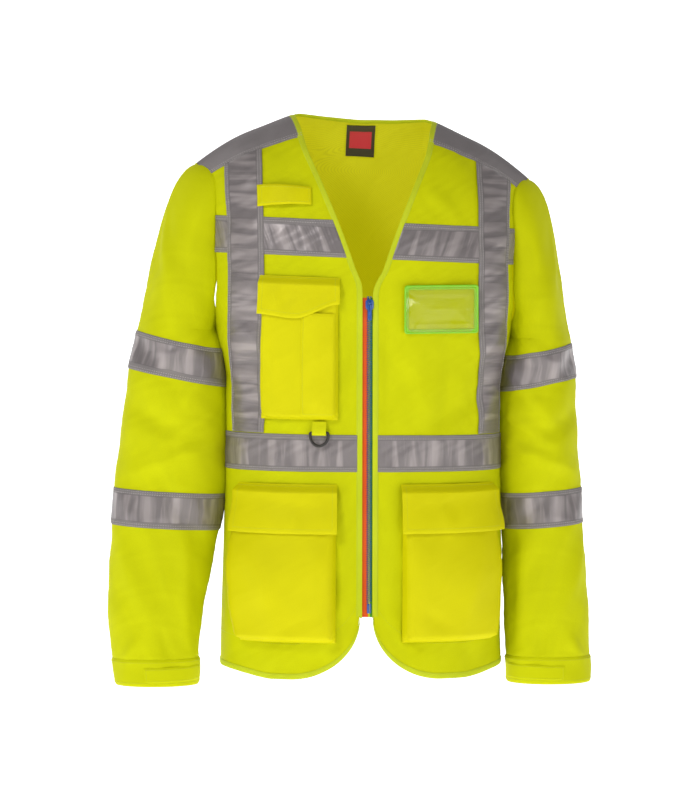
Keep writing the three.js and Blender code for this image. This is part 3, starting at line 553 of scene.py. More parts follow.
# %% Rows of stitches
def stitch_part(place, path, lift, slot, pitch=3.4, long=2.4, thick=0.75):
    """A row of stitches along path(t) -> (u, v): each is a small octahedron lying on the cloth. A path may
    give a plain number for u or v where that stays the same."""
    t = np.linspace(0, 1, 500)
    u, v = path(t)
    u, v = np.broadcast_arrays(u, v)
    line = place(u, v, value(lift, u, v))
    above = place(u, v, value(lift, u, v) + 1)
    run = np.concatenate([[0], np.cumsum(np.linalg.norm(np.diff(line, axis=0), axis=1))])
    centre = np.arange(pitch / 2, run[-1], pitch)
    at = lambda values, s: np.stack([np.interp(s, run, values[:, k]) for k in range(3)], -1)
    c, n = at(line, centre), at(above, centre) - at(line, centre)
    ahead = at(line, np.minimum(centre + long / 2, run[-1])) - at(line, np.maximum(centre - long / 2, 0))
    aside = np.cross(n, ahead)
    aside = aside / np.maximum(np.linalg.norm(aside, axis=1), 1e-9)[:, None] * thick / 2
    rise = n * thick * 0.45
    points = np.stack([c + ahead / 2, c + aside, c - ahead / 2, c - aside, c + rise, c - rise], 1)
    upper_half = [[0, 1, 4], [1, 2, 4], [2, 3, 4], [3, 0, 4]]
    lower_half = [[1, 0, 5], [2, 1, 5], [3, 2, 5], [0, 3, 5]]
    pattern = np.array(upper_half + lower_half)
    faces = (np.arange(len(c))[:, None, None] * 6 + pattern).reshape(-1, 3)
    corner = points.reshape(-1, 3)[faces]
    volume = np.einsum("ij,ij->i", corner[:, 0], np.cross(corner[:, 1], corner[:, 2])).sum()
    if volume < 0:
        faces = faces[:, ::-1]
    return points.reshape(-1, 3), faces, np.zeros((len(faces), 3, 2)), slot


print("a row of stitches is made by", stitch_part.__name__)

# %% [markdown]
# Small solid things, such as teeth, plates and rings, come from two more forms: a superellipsoid, which is a
# block with soft edges, and a profile carried round a rectangle with rounded corners or along a line.

# %% Pebbles, plates and tubes
def quads(rows, columns, wrap_rows=False, wrap_columns=True):
    """Corner numbers of a grid of points, each cell anticlockwise."""
    down, along = np.arange(rows - (not wrap_rows)), np.arange(columns - (not wrap_columns))
    j, i = np.meshgrid(down, along, indexing="ij")
    i, j = i.ravel(), j.ravel()
    i2, j2 = (i + 1) % columns, (j + 1) % rows
    return np.stack([j * columns + i, j * columns + i2, j2 * columns + i2, j2 * columns + i], 1)


def outward(points, faces, uv, slot):
    corner = points[faces]
    volume = np.einsum("ij,ij->i", corner[:, 0], np.cross(corner[:, 1], corner[:, 2])).sum()
    volume += np.einsum("ij,ij->i", corner[:, 0], np.cross(corner[:, 2], corner[:, 3])).sum()
    return (points, faces[:, ::-1], uv[:, ::-1], slot) if volume < 0 else (points, faces, uv, slot)


def pebble_part(centres, axes, half, power=0.35, slot=0, columns=16, rows=9):
    """Superellipsoids: cos and sin of two angles, each raised to a power below 1 to square it off."""
    a, b = np.meshgrid(np.linspace(0, 2 * math.pi, columns, endpoint=False), np.linspace(-SIDE, SIDE, rows))
    p = lambda t: np.sign(t) * np.abs(t) ** power
    shape = np.stack([p(np.cos(b)) * p(np.cos(a)), p(np.cos(b)) * p(np.sin(a)), p(np.sin(b))], -1)
    shape = shape.reshape(-1, 3)
    centres, axes = np.reshape(centres, (-1, 3)), np.reshape(axes, (-1, 3, 3))
    points = centres[:, None] + np.einsum("vk,nkc->nvc", shape * np.array(half), axes)
    one = quads(rows, columns)
    faces = (np.arange(len(centres))[:, None, None] * len(shape) + one).reshape(-1, 4)
    return outward(points.reshape(-1, 3), faces, points.reshape(-1, 3)[faces][..., [0, 2]] / 1000, slot)


def outline(wide_half, high_half, radius, corner=9):
    """Points round a rectangle with rounded corners, anticlockwise from the right."""
    radius = max(min(radius, wide_half, high_half), 0)
    a = np.concatenate([np.linspace(q * SIDE, (q + 1) * SIDE, corner) for q in range(4)])
    sx, sy = np.repeat([1, -1, -1, 1], corner), np.repeat([1, 1, -1, -1], corner)
    x = sx * (wide_half - radius) + radius * np.cos(a)
    y = sy * (high_half - radius) + radius * np.sin(a)
    return np.stack([x, y], -1)


print("a pebble is made by", pebble_part.__name__)


# %% Plates, tubes and frames on the body
def plate_part(world, size, radius, profile, closed=False, slot=0):
    """A profile of (inset, height) carried round a rounded rectangle; world(x, y, height) places a point."""
    rings = []
    for inset, height in profile:
        ring = outline(size[0] / 2 - inset, size[1] / 2 - inset, radius - inset)
        rings.append(world(ring[:, 0], ring[:, 1], np.full(len(ring), float(height))))
    points = np.concatenate(rings)
    faces = quads(len(rings), len(rings[0]), wrap_rows=closed)
    return outward(points, faces, points[faces][..., [0, 2]] / 1000, slot)


def tube_part(path, radius, closed=False, sides=16, slot=0):
    """A round tube along a line of points, its cross-section carried from each point to the next."""
    path = np.asarray(path, float)
    step = np.roll(path, -1, 0) - np.roll(path, 1, 0) if closed else np.gradient(path, axis=0)
    tangent = step / np.linalg.norm(step, axis=1)[:, None]
    up = np.array([0.0, -1.0, 0.0])
    side = np.cross(tangent, up)
    side = side / np.linalg.norm(side, axis=1)[:, None]
    out = np.cross(side, tangent)
    a = np.linspace(0, 2 * math.pi, sides, endpoint=False)
    ring = np.cos(a)[None, :, None] * side[:, None] + np.sin(a)[None, :, None] * out[:, None]
    points = path[:, None] + ring * np.reshape(radius, (-1, 1, 1))
    if not closed:
        first, last = np.repeat(path[:1, None], sides, 1), np.repeat(path[-1:, None], sides, 1)
        points = np.concatenate([first, points, last])
    faces = quads(len(points), sides, wrap_rows=closed)
    points = points.reshape(-1, 3)
    return outward(points, faces, points[faces][..., [0, 2]] / 1000, slot)


def frame_at(x, z, lift=0.0):
    """(origin, across, out, up) of a frame on the front of the body."""
    near = lambda dx, dz: seen(1, np.array([x + dx]), np.array([z + dz]))[0]
    out = np.cross(near(0.02, 0) - near(-0.02, 0), near(0, 0.02) - near(0, -0.02))
    out = out / np.linalg.norm(out) * (-1 if out[1] > 0 else 1)
    across = np.array([1.0, 0, 0]) - out[0] * out
    across = across / np.linalg.norm(across)
    return hang(near(0, 0) + out * lift), across, out, np.cross(across, -out)


def in_frame(frame_axes):
    """world(x, y, height): y goes up the frame and height out of it."""
    origin, across, out, up = frame_axes

    def world(x, y, height):
        flat = origin + np.multiply.outer(x, across) + np.multiply.outer(y, up)
        return flat + np.multiply.outer(height, out)

    return world


print("plates and tubes are made by", plate_part.__name__, "and", tube_part.__name__)

# %% [markdown]
# ## Materials
# Colours are written as they look in daylight, in sRGB hex, and turned into the linear values that light
# needs. Patterns are sized in real millimetres on the UV map of the cloth.

# %% Helpers for materials
def linear(text):
    """sRGB hex to linear red, green, blue, alpha."""
    c = np.array([int(text[i : i + 2], 16) for i in (0, 2, 4)]) / 255
    c = np.where(c <= 0.04045, c / 12.92, ((c + 0.055) / 1.055) ** 2.4)
    return (*c.tolist(), 1.0)


def add(tree, kind, inputs=None, **settings):
    """A node with its settings; inputs are numbers, colours or the outputs of other nodes."""
    node = tree.nodes.new("ShaderNode" + kind)
    for key, setting in settings.items():
        setattr(node, key, setting)
    for key, given in (inputs or {}).items():
        if isinstance(given, bpy.types.NodeSocket):
            tree.links.new(given, node.inputs[key])
        else:
            node.inputs[key].default_value = given
    return node


def material(name, colour, **constants):
    """A material with one Principled shader; constants are its sockets."""
    made = bpy.data.materials.new(name)
    made.use_nodes = True
    shader = made.node_tree.nodes["Principled BSDF"]
    shader.inputs["Base Color"].default_value = linear(colour)
    for key, number in constants.items():
        socket = shader.inputs[key.replace("_", " ")]
        socket.default_value = linear(number) if isinstance(number, str) else number
    return made, made.node_tree, shader


def math_node(tree, operation, a, b=0.0):
    return add(tree, "Math", {0: a, 1: b}, operation=operation).outputs[0]


def blend_colour(tree, share, a, b):
    node = tree.nodes.new("ShaderNodeMix")
    node.data_type = "RGBA"
    for key, given in (("Factor", share), ("A", a), ("B", b)):
        sockets = [s for s in node.inputs if s.name == key and s.enabled]
        if isinstance(given, bpy.types.NodeSocket):
            tree.links.new(given, sockets[0])
        else:
            sockets[0].default_value = given
    return [s for s in node.outputs if s.enabled][0]


def bump(tree, shader, height, distance, strength=0.5):
    node = add(tree, "Bump", {"Height": height, "Distance": distance, "Strength": strength})
    tree.links.new(node.outputs["Normal"], shader.inputs["Normal"])


print("grey tape in linear light:", [round(part, 3) for part in linear("918988")])

# %% Cloths
# Hi-vis twill: polyester yarn dyed with a fluorescent yellow that turns blue light into green, so it looks a
# little brighter than the light on it. A small emission stands in for that and is partly a painted glow: it
# shines even where no light falls. Woven in a diagonal, then coated on the back.
WAVE_PERIOD = 0.31  # the length after which a wave texture of scale 1 repeats


def twill(name, colour, shade, painted_glow, rough=0.75, weave=0.0011, depth=0.00006):
    made, tree, shader = material(
        name, colour, Roughness=rough,
        Emission_Color=colour, Emission_Strength=painted_glow, Specular_IOR_Level=0.12,
    )
    cloth = add(tree, "UVMap", uv_map="cloth").outputs["UV"]
    turned = add(tree, "Mapping", {"Vector": cloth, "Rotation": (0, 0, 45 * DEG)}).outputs["Vector"]
    ribs = add(tree, "TexWave", {"Vector": turned, "Scale": WAVE_PERIOD / weave}).outputs["Fac"]
    slub = add(tree, "TexNoise", {"Vector": cloth, "Scale": 900.0, "Detail": 2.0}).outputs["Fac"]
    soft = add(tree, "TexNoise", {"Vector": cloth, "Scale": 14.0, "Detail": 2.0}).outputs["Fac"]
    tone = math_node(tree, "MULTIPLY", math_node(tree, "ADD", soft, slub), 0.5)
    ramp = add(tree, "MapRange", {"Value": tone, "From Min": 0.38, "From Max": 0.62}).outputs[0]
    mixed = blend_colour(tree, ramp, linear(shade), linear(colour))
    tree.links.new(mixed, shader.inputs["Base Color"])
    bump(tree, shader, math_node(tree, "ADD", ribs, slub), depth)
    return made


HIVIS = twill("hi-vis polyester twill", "CED200", "C4C800", 0.02)
POCKET = twill("hi-vis laminated twill", "D8D200", "D0CA00", 0.03, rough=0.6, depth=0.00003)
BINDING_CLOTH = twill("knitted polyester binding", "C9D42C", "BCC81E", 0.03, weave=0.0008)
YOKE = twill(
    "grey abrasion-proof oxford cloth", "8B8585", "7E7878", 0.0, rough=0.8, weave=0.0009, depth=0.0001
)
WEBBING = twill("hi-vis polyester webbing", "D6D80C", "BFC208", 0.05, weave=0.0016, depth=0.00025)
THREAD, _, _ = material("polyester sewing thread", "C2CB1C", Roughness=0.6, Sheen_Weight=0.2)
GREY_THREAD, _, _ = material("grey polyester thread", "C4BEBA", Roughness=0.7)


print("woven cloths and threads:", len(bpy.data.materials))

# %% Lining
# Birdseye mesh: a warp-knitted lining with a small hole at each corner of a diagonal grid.
def mesh_lining():
    # The lining's emission is painted light: a glow that brightens the inside of the jacket, where it lies in
    # shade.
    made, tree, shader = material(
        "birdseye mesh lining", "CFCC14", Roughness=0.85, Sheen_Weight=0.1,
        Emission_Color="BDBB00", Emission_Strength=0.30,
    )
    cloth = add(tree, "UVMap", uv_map="cloth").outputs["UV"]
    turned = add(tree, "Mapping", {"Vector": cloth, "Rotation": (0, 0, 45 * DEG), "Scale": (420, 420, 420)})
    cell = add(tree, "VectorMath", {0: turned.outputs["Vector"]}, operation="FRACTION").outputs[0]
    centre = add(tree, "VectorMath", {0: cell, 1: (0.5, 0.5, 0.0)}, operation="DISTANCE").outputs["Value"]
    hole = add(tree, "MapRange", {"Value": centre, "From Min": 0.30, "From Max": 0.18}).outputs[0]
    tree.links.new(blend_colour(tree, hole, linear("CFCC14"), linear("B5B20C")), shader.inputs["Base Color"])
    bump(tree, shader, hole, -0.0001)
    return made


LINING = mesh_lining()
print("lining:", LINING.name)


# %% Reflective tape
# Reflective tape: glass beads of a twentieth of a millimetre on aluminium, bonded to grey cotton. The UV map
# runs along the tape in u and across it in v, so its plain borders, its creases and the painted highlights
# along the creases follow it everywhere.
def reflective_tape():
    made, tree, shader = material("silver glass-bead tape", "918988", Roughness=0.42, Metallic=0.25)
    cloth = add(tree, "UVMap", uv_map="cloth").outputs["UV"]
    parts = add(tree, "SeparateXYZ", {0: cloth})
    across = math_node(tree, "SUBTRACT", parts.outputs["Y"], TAPE_WIDTH / 2000)
    from_middle = math_node(tree, "ABSOLUTE", across)
    border = add(tree, "MapRange", {"Value": from_middle, "From Min": 0.0182, "From Max": 0.0190}).outputs[0]
    line = add(tree, "MapRange", {"Value": from_middle, "From Min": 0.0172, "From Max": 0.0182}).outputs[0]
    stretched = add(tree, "Mapping", {"Vector": cloth, "Scale": (70, 9, 1)}).outputs["Vector"]
    creasing = {"Vector": stretched, "Scale": 1.0, "Detail": 2.0, "Roughness": 0.5, "Distortion": 0.6}
    crease = add(tree, "TexNoise", creasing).outputs["Fac"]
    # The silver is painted lighter along the creases: a painted highlight where they would catch the light.
    crease_painted_highlight = add(tree, "MapRange", {"Value": crease, "From Min": 0.47, "From Max": 0.66}).outputs[0]
    beads = add(tree, "TexNoise", {"Vector": cloth, "Scale": 2600.0, "Detail": 1.0}).outputs["Fac"]
    silver = blend_colour(tree, crease_painted_highlight, linear("7F7878"), linear("A39A99"))
    edged = blend_colour(tree, math_node(tree, "SUBTRACT", line, border), silver, linear("6E6868"))
    tree.links.new(blend_colour(tree, border, edged, linear("807A79")), shader.inputs["Base Color"])
    rough = add(tree, "MapRange", {"Value": border, "To Min": 0.38, "To Max": 0.8}).outputs[0]
    tree.links.new(rough, shader.inputs["Roughness"])
    plain = math_node(tree, "SUBTRACT", 0.3, math_node(tree, "MULTIPLY", border, 0.3))
    tree.links.new(plain, shader.inputs["Metallic"])
    bump(tree, shader, math_node(tree, "ADD", crease, math_node(tree, "MULTIPLY", beads, 0.04)), 0.0022, 0.6)
    return made


TAPE = reflective_tape()
print("tape:", TAPE.name)


# %% Label
# Woven satin label: a dark field with a plain square woven in it.
def label_cloth():
    made, tree, shader = material("woven satin label", "2E2622", Roughness=0.5, Sheen_Weight=0.3)
    cloth = add(tree, "UVMap", uv_map="cloth").outputs["UV"]
    parts = add(tree, "SeparateXYZ", {0: cloth})
    from_x = math_node(tree, "ABSOLUTE", math_node(tree, "SUBTRACT", parts.outputs["X"], 0.020))
    from_y = math_node(tree, "ABSOLUTE", math_node(tree, "SUBTRACT", parts.outputs["Y"], 0.029))
    block = math_node(tree, "LESS_THAN", math_node(tree, "MAXIMUM", from_x, from_y), 0.0155)
    tree.links.new(blend_colour(tree, block, linear("2E2622"), linear("D81848")), shader.inputs["Base Color"])
    ribs = add(tree, "TexWave", {"Vector": cloth, "Scale": 520.0}, bands_direction="Y").outputs["Fac"]
    bump(tree, shader, ribs, 0.00008)
    return made


LABEL = label_cloth()
print("label:", LABEL.name)

# %% Zip, plastic and metal
# Woven zip tape, injection-moulded acetal teeth, lacquered die-cast zinc for the slider, nylon for the ring,
# and flexible PVC sheet, welded at its border, for the badge pocket.
# The orange zip tape's small emission is a painted glow, as on the hi-vis cloths.
ZIP_ORANGE = twill("orange woven zip tape", "E8602A", "D9521E", 0.05, weave=0.0012, depth=0.0002)
ZIP_GREEN = twill("green woven zip tape", "5FA83A", "4B9430", 0.0, weave=0.0012, depth=0.0002)
TEETH, _, _ = material("navy acetal", "1B5484", Roughness=0.35, Specular_IOR_Level=0.5)
BLUE, _, _ = material("blue lacquered zinc", "0B52A8", Roughness=0.28, Coat_Weight=0.6, Coat_Roughness=0.15)
NYLON, _, _ = material("black glass-filled nylon", "2B2725", Roughness=0.42)
PVC_GREEN, _, _ = material("green welded PVC", "7FCB00", Roughness=0.3, Coat_Weight=0.3)
PVC_CLEAR, _, _ = material(
    "clear PVC sheet", "C6D000", Roughness=0.05, IOR=1.53, Alpha=0.2, Specular_IOR_Level=1.0,
    Coat_Weight=1.0, Coat_Roughness=0.03,
)
print("materials:", len(bpy.data.materials))

# %% [markdown]
# ## Body
# On the real jacket these are flat cuts of twill, shaped by their seams. A cloth simulation would find the
# shape, but it would move the edges too, and here tapes, zip and pockets have to meet them exactly.
# Each front runs from the zip to the side seam and up to the yoke. The back is two halves of one cloth with a
# tongue between the yokes. The inside is lined with mesh.

# %% Fronts and back
MIDDLE = {"right": -264, "left": 246}
CLOTH = (-1.6, 0.0)  # the lining and the face of a cloth, from its skin
SEAM_ROLL = (0.9, 2.4)


def grow(pieces, *made):
    for piece, body, nodes, finish in made:
        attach(piece, body)
        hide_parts(*nodes)
        pieces.append(piece)


PIECES = []
LOW_SHARE = 0.58


def front_skin(sign, edge, shift):
    """A front: v below LOW_SHARE is level, from the hem to the chest, and above it climbs to the yoke."""
    inner = lambda z: turn_at(free_edge(edge, z) + 1, z)

    def skin(u, v):
        hem_turn = lerp(inner(np.full(u.shape, float(CHEST))), SIDE, u)
        foot = front_hem(HEM_HALF * wide(hem_turn), shift) + 2
        z = lerp(foot, CHEST, np.clip(v / LOW_SHARE, 0, 1))
        low = body_skin(1, lerp(inner(z), outer_turn(1, z), u), z)
        climb = lerp(0.0, YOKE_FRONT + 0.02, np.clip((v - LOW_SHARE) / (1 - LOW_SHARE), 0, 1))
        z = lerp(CHEST, NECK_TOP, np.sin(climb))
        high = shoulder_skin(lerp(inner(z), outer_turn_over(climb), u), climb)
        return mirror(np.where((v > LOW_SHARE)[..., None], high, low), sign)

    return skin


for name, sign in SIGN.items():
    place = surface(front_skin(sign, EDGES[name], HEM_SHIFT[name]), body_fold)
    shell = shell_part(place, 150, 260, *CLOTH, roll=SEAM_ROLL, under=1)
    hem_row = stitch_part(place, lambda t: (t, 0.052), 0.15, 2)
    panel = make_mesh(f"{name}_front", [shell, hem_row], [HIVIS, LINING, THREAD])
    grow(PIECES, (panel, "jacket", [f"{name}_front_panel"], "hivis_fabric"))


def back_skin(u, v):
    across, sign = np.abs(2 * u - 1), np.where(u < 0.5, -1.0, 1.0)
    tongue = turn_at(np.array([NECK_HALF + BINDING + 1.0]))[0]
    foot = back_hem(across * SIDE) + 2
    z = lerp(foot, CHEST, np.clip(v / 0.55, 0, 1))
    low = body_skin(-1, across * outer_turn(-1, z), z)
    # Near the neck line the columns that would lie under a yoke end at its lower edge.
    top = nape_line(CHEST_HALF * wide(across * tongue)) + 0.02
    climb = lerp(math.pi, YOKE_BACK - 0.03, np.clip((v - 0.55) / 0.33, 0, 1))
    climb = np.where(v > 0.88, lerp(YOKE_BACK - 0.03, top, (v - 0.88) / 0.12), climb)
    high = shoulder_skin(across * lerp(outer_turn_over(climb), tongue + 0.02, ease(0.8, 0.88, v)), climb)
    return mirror(np.where((v > 0.55)[..., None], high, low), sign)


place = surface(back_skin, body_fold)
shell = shell_part(place, 260, 240, *CLOTH, roll=SEAM_ROLL, under=1)
panel = make_mesh("back", [shell], [HIVIS, LINING])
grow(PIECES, (panel, "jacket", ["back_panel"], "hivis_fabric"))


def yoke_skin(sign):
    def skin(u, v):
        climb = lerp(YOKE_FRONT, YOKE_BACK, v)
        z = lerp(CHEST, NECK_TOP, np.sin(climb))
        inner = turn_at(np.where(climb < SIDE, neck_half(z) + 1, NECK_HALF + 3))
        return mirror(shoulder_skin(lerp(inner, outer_turn_over(climb), u), climb), sign)

    return skin


for name, sign in SIGN.items():
    place = surface(yoke_skin(sign), body_fold)
    shell = shell_part(place, 90, 110, -1.6, 0.9, roll=(0.9, 2.0), under=1)
    rows = [stitch_part(place, lambda t, v=v: (t, v), 1.05, 2) for v in (0.014, 0.034, 0.966, 0.986)]
    piece = make_mesh(f"{name}_yoke", [shell, *rows], [YOKE, LINING, GREY_THREAD])
    grow(PIECES, (piece, "jacket", [f"{name}_shoulder_yoke"], "yoke_fabric"))
print("body panels:", len(PIECES))

# %% [markdown]
# ## Sleeves
# Each sleeve is one tube of cloth from the armhole to the cuff, made as one mesh. Two stiff tubes would
# open at the elbow.

# %% Sleeves, cuffs and their tapes
UNDER_SEAM = -0.045  # the cap starts this far under the edge of the body, as a share of its length


def sleeve_skin(name):
    def skin(u, v):
        angle = 2 * math.pi * u
        high = cap_skin(name, angle, lerp(UNDER_SEAM, 1.0, np.clip(v / 0.36, 0, 1)))
        z = lerp(CAP_END, -738.0, np.clip((v - 0.36) / 0.64, 0, 1))
        return np.where((v > 0.36)[..., None], tube_skin(name, angle, z), high)

    return skin


def ring_skin(name, top, bottom, slant=0.0):
    def skin(u, v):
        angle = 2 * math.pi * u
        return tube_skin(name, angle, lerp(top, bottom, v) + slant * np.cos(angle))

    return skin


CUFF_TOP, CUFF_BOTTOM = -737, -772
ROWS_ACROSS = (0.035, 0.095, 0.905, 0.965)  # the rows of stitches, as shares of a tape's width
TAPE_FACES = (0.3, 1.5)  # the back and the face of a tape, from the skin
for name, sign in SIGN.items():
    fold, middle = sleeve_fold(name), MIDDLE[name]
    place = surface(sleeve_skin(name), fold, middle)
    shell = shell_part(place, 160, 300, *CLOTH, loop=True, roll=(1.4, 3.0), under=1)
    sleeve = make_mesh(f"{name}_sleeve", [shell], [HIVIS, LINING])
    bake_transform(sleeve)
    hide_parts(f"{name}_upper_sleeve", f"{name}_forearm_sleeve")
    PIECES.append(sleeve)

    place = surface(ring_skin(name, CUFF_TOP + 2, CUFF_BOTTOM), fold, middle)
    shell = shell_part(place, 160, 30, -2.0, 1.7, loop=True, roll=(1.6, 2.0), under=1)
    rows = [stitch_part(place, lambda t, v=v: (t, v), 1.85, 2) for v in (0.10, 0.86)]
    cuff = make_mesh(f"{name}_cuff_band", [shell, *rows], [HIVIS, LINING, THREAD])
    grow(PIECES, (cuff, f"{name}_forearm", [f"{name}_cuff"], "hivis_fabric"))

    tab = lambda u, v: tube_skin(name, lerp(165 * DEG, 70 * DEG, u), lerp(-765.0, -744.0, v) - 2 * u)
    place = surface(tab, lambda p: np.zeros(p.shape[:-1]), middle)
    shell = shell_part(place, 70, 20, 1.3, 3.3, roll=(0.9, 1.4))
    around = [
        stitch_part(place, lambda t: (lerp(0.03, 0.96, t), 0.12), 3.4, 1),
        stitch_part(place, lambda t: (lerp(0.03, 0.96, t), 0.88), 3.4, 1),
        stitch_part(place, lambda t: (0.96, lerp(0.12, 0.88, t)), 3.4, 1),
    ]
    strap = make_mesh(f"{name}_cuff_strap", [shell, *around], [HIVIS, THREAD])
    grow(PIECES, (strap, f"{name}_cuff_tab", [f"{name}_cuff_tab"], "hivis_fabric"))

    tapes = (("upper_sleeve_tape", "jacket", -305, 11), ("forearm_tape", f"{name}_forearm", -505, 4))
    for part, body, top, slant in tapes:
        place = surface(ring_skin(name, top, top - TAPE_WIDTH, slant), fold, middle)
        shell = shell_part(place, 160, 36, *TAPE_FACES, loop=True, roll=(0.8, 1.2))
        rows = [stitch_part(place, lambda t, v=v: (t, v), TAPE_FACES[1], 1) for v in ROWS_ACROSS]
        tape = make_mesh(f"{name}_{part}_strip", [shell, *rows], [TAPE, GREY_THREAD])
        grow(PIECES, (tape, body, [f"{name}_{part}"], "reflective_tape"))
print("with sleeves:", len(PIECES))

# %% [markdown]
# ## Bindings and tapes
# A binding is a strip folded round a raw edge and stitched through. A tape lies flat on the cloth and is held
# by two rows of stitches along each of its borders. The upright tapes cross over the level ones.

# %% Bindings
def binding(name, skin, nodes, columns, wrap=1.0):
    place = surface(skin, body_fold)
    crown = lambda u, v: 0.35 + wrap * 0.7 * np.sin(math.pi * np.clip(v, 0, 1)) ** 0.6
    shell = shell_part(place, columns, 10, lambda u, v: -crown(u, v) - 1.5, crown, roll=(0, 1))
    row = stitch_part(place, lambda t: (t, 0.84), 1.0, 1)
    piece = make_mesh(name, [shell, row], [BINDING_CLOTH, THREAD])
    grow(PIECES, (piece, "jacket", nodes, "binding"))


BOTTOM_EDGE = HEM + HEM_CURVE_RISE
for name, sign in SIGN.items():
    edge = EDGES[name]

    def neck_skin(u, v):
        climb = lerp(0.0, 89.6 * DEG, u)
        z = lerp(CHEST, NECK_TOP, np.sin(climb))
        return mirror(shoulder_skin(turn_at(free_edge(edge, z) + BINDING * v), climb), sign)

    def zip_skin(u, v):
        z = lerp(BOTTOM_EDGE + 2.0, float(CHEST), u)
        return seen(1, sign * (edge + BINDING * v), z)

    def hem_skin(u, v):
        turn = lerp(turn_at(np.array([edge]), np.array([float(HEM)]))[0], SIDE, u**1.5)
        foot = front_hem(HEM_HALF * wide(turn), HEM_SHIFT[name])
        return mirror(body_skin(1, turn, foot + BINDING * v), sign)

    binding(f"{name}_neck_edge", neck_skin, [f"{name}_neck_binding"], 200)
    binding(f"{name}_zip_edge", zip_skin, [f"{name}_zip_facing"], 200, wrap=0.6)
    binding(f"{name}_hem_edge", hem_skin, [f"{name}_hem_binding"], 160)


def nape_skin(u, v):
    x = lerp(-NECK_HALF - BINDING * 1.0, NECK_HALF + BINDING * 1.0, u)
    climb = nape_line(x) + BINDING_CLIMB * v
    return mirror(shoulder_skin(turn_at(x), climb), np.where(x < 0, -1.0, 1.0))


def back_hem_skin(u, v):
    turn = lerp(-SIDE, SIDE, u)
    return mirror(body_skin(-1, np.abs(turn), back_hem(turn) + BINDING * v), np.where(turn < 0, -1.0, 1.0))


binding("back_neck_edge", nape_skin, ["back_neck_binding"], 120)
binding("back_hem_edge", back_hem_skin, ["back_hem_binding"], 200)
print("with bindings:", len(PIECES))

# %% Tapes of the body
TAPE_INNER = {-1: 141, 1: 150}
UPRIGHT_WIDTH = 59  # the upright tapes run round the side of the chest, a little wider than the level ones
OVER_TAPE = (1.6, 2.8)  # the same for a tape that crosses another


def body_tape(name, skin, nodes, columns, rows, low, high, turned=0):
    place = surface(skin, body_fold)
    shell = shell_part(place, columns, rows, low, high, roll=(0.8, 1.2), turned=turned)
    path = lambda v: (lambda t: (v, t)) if turned else (lambda t: (t, v))
    stitches = [stitch_part(place, path(v), high, 1) for v in ROWS_ACROSS]
    piece = make_mesh(name, [shell, *stitches], [TAPE, GREY_THREAD])
    grow(PIECES, (piece, "jacket", nodes, "reflective_tape"))


def upright_skin(side, sign):
    """Starts a fixed distance from the middle, and ends one tape width further round at every height."""
    last = YOKE_FRONT - 0.005 if side > 0 else YOKE_BACK + 0.005

    def point(turn, v):
        z = lerp(WAIST_TAPE_TOP + 1.0, float(CHEST), np.clip(v / 0.45, 0, 1))
        climb = lerp(0.0 if side > 0 else math.pi, last, np.clip((v - 0.45) / 0.55, 0, 1))
        return np.where((v < 0.45)[..., None], body_skin(side, turn, z), shoulder_skin(turn, climb))

    heights = np.linspace(0, 1, 121)
    z = lerp(WAIST_TAPE_TOP + 1.0, float(CHEST), np.clip(heights / 0.45, 0, 1))
    start = turn_at(np.full(heights.shape, float(TAPE_INNER[sign])), z)
    low, high = start.copy(), np.full(heights.shape, SIDE)
    for _ in range(30):
        half = (low + high) / 2
        short = np.linalg.norm(point(half, heights) - point(start, heights), axis=-1) < UPRIGHT_WIDTH
        low, high = np.where(short, half, low), np.where(short, high, half)

    def skin(u, v):
        return mirror(point(lerp(np.interp(v, heights, start), np.interp(v, heights, low), u), v), sign)

    return skin


def level_skin(sign, edge, top):
    def skin(u, v):
        z = lerp(top - TAPE_WIDTH, float(top), v)
        inner = turn_at(free_edge(edge, z) + BINDING - 1, z)
        return mirror(body_skin(1, lerp(inner, outer_turn(1, z), u), z), sign)

    return skin


def back_tape_skin(top):
    def skin(u, v):
        z = lerp(top - TAPE_WIDTH, float(top), v)
        return mirror(body_skin(-1, np.abs(2 * u - 1) * outer_turn(-1, z), z), np.where(u < 0.5, -1.0, 1.0))

    return skin


for name, sign in SIGN.items():
    for part, top in (("chest_tape", CHEST_TAPE_TOP), ("waist_tape", WAIST_TAPE_TOP)):
        skin = level_skin(sign, EDGES[name], top)
        body_tape(f"{name}_{part}_strip", skin, [f"{name}_{part}"], 120, 34, *TAPE_FACES)
    for part, side in (("front", 1), ("back", -1)):
        skin = upright_skin(side, sign)
        body_tape(f"{name}_{part}_strip", skin, [f"{name}_{part}_tape"], 34, 200, *OVER_TAPE, TAPE_WIDTH)
for part, top in (("chest", CHEST_TAPE_TOP), ("waist", WAIST_TAPE_TOP)):
    body_tape(f"back_{part}_strip", back_tape_skin(top), [f"back_{part}_tape"], 220, 34, *TAPE_FACES)
print("with tapes:", len(PIECES))

# %% [markdown]
# ## Zip
# Moulded teeth sit on the edges of two woven tapes, half a pitch apart so that they lock. A cast slider with a
# hanging puller runs over them, and at the foot a box and a pin hold the two halves together. Each tooth is
# a real small solid, because a bump would lose its outline at the edge of the tape.

# %% Zip tapes and teeth
TEETH_TOP, TEETH_BOTTOM = CHEST - 2, ZIP_BOTTOM + 14
PITCH = 3.1
ZIP_TAPE_OUT = {"right": 16, "left": 12}


def on_zip(z, x=0.0, lift=0.0):
    """A point on the line of the zip; the front is straight there, so that the teeth make one line."""
    y = -(FRONT_DEPTH + ZIP_SLOPE * (z - CHEST)) - lift
    return hang(stack(x, y, z))


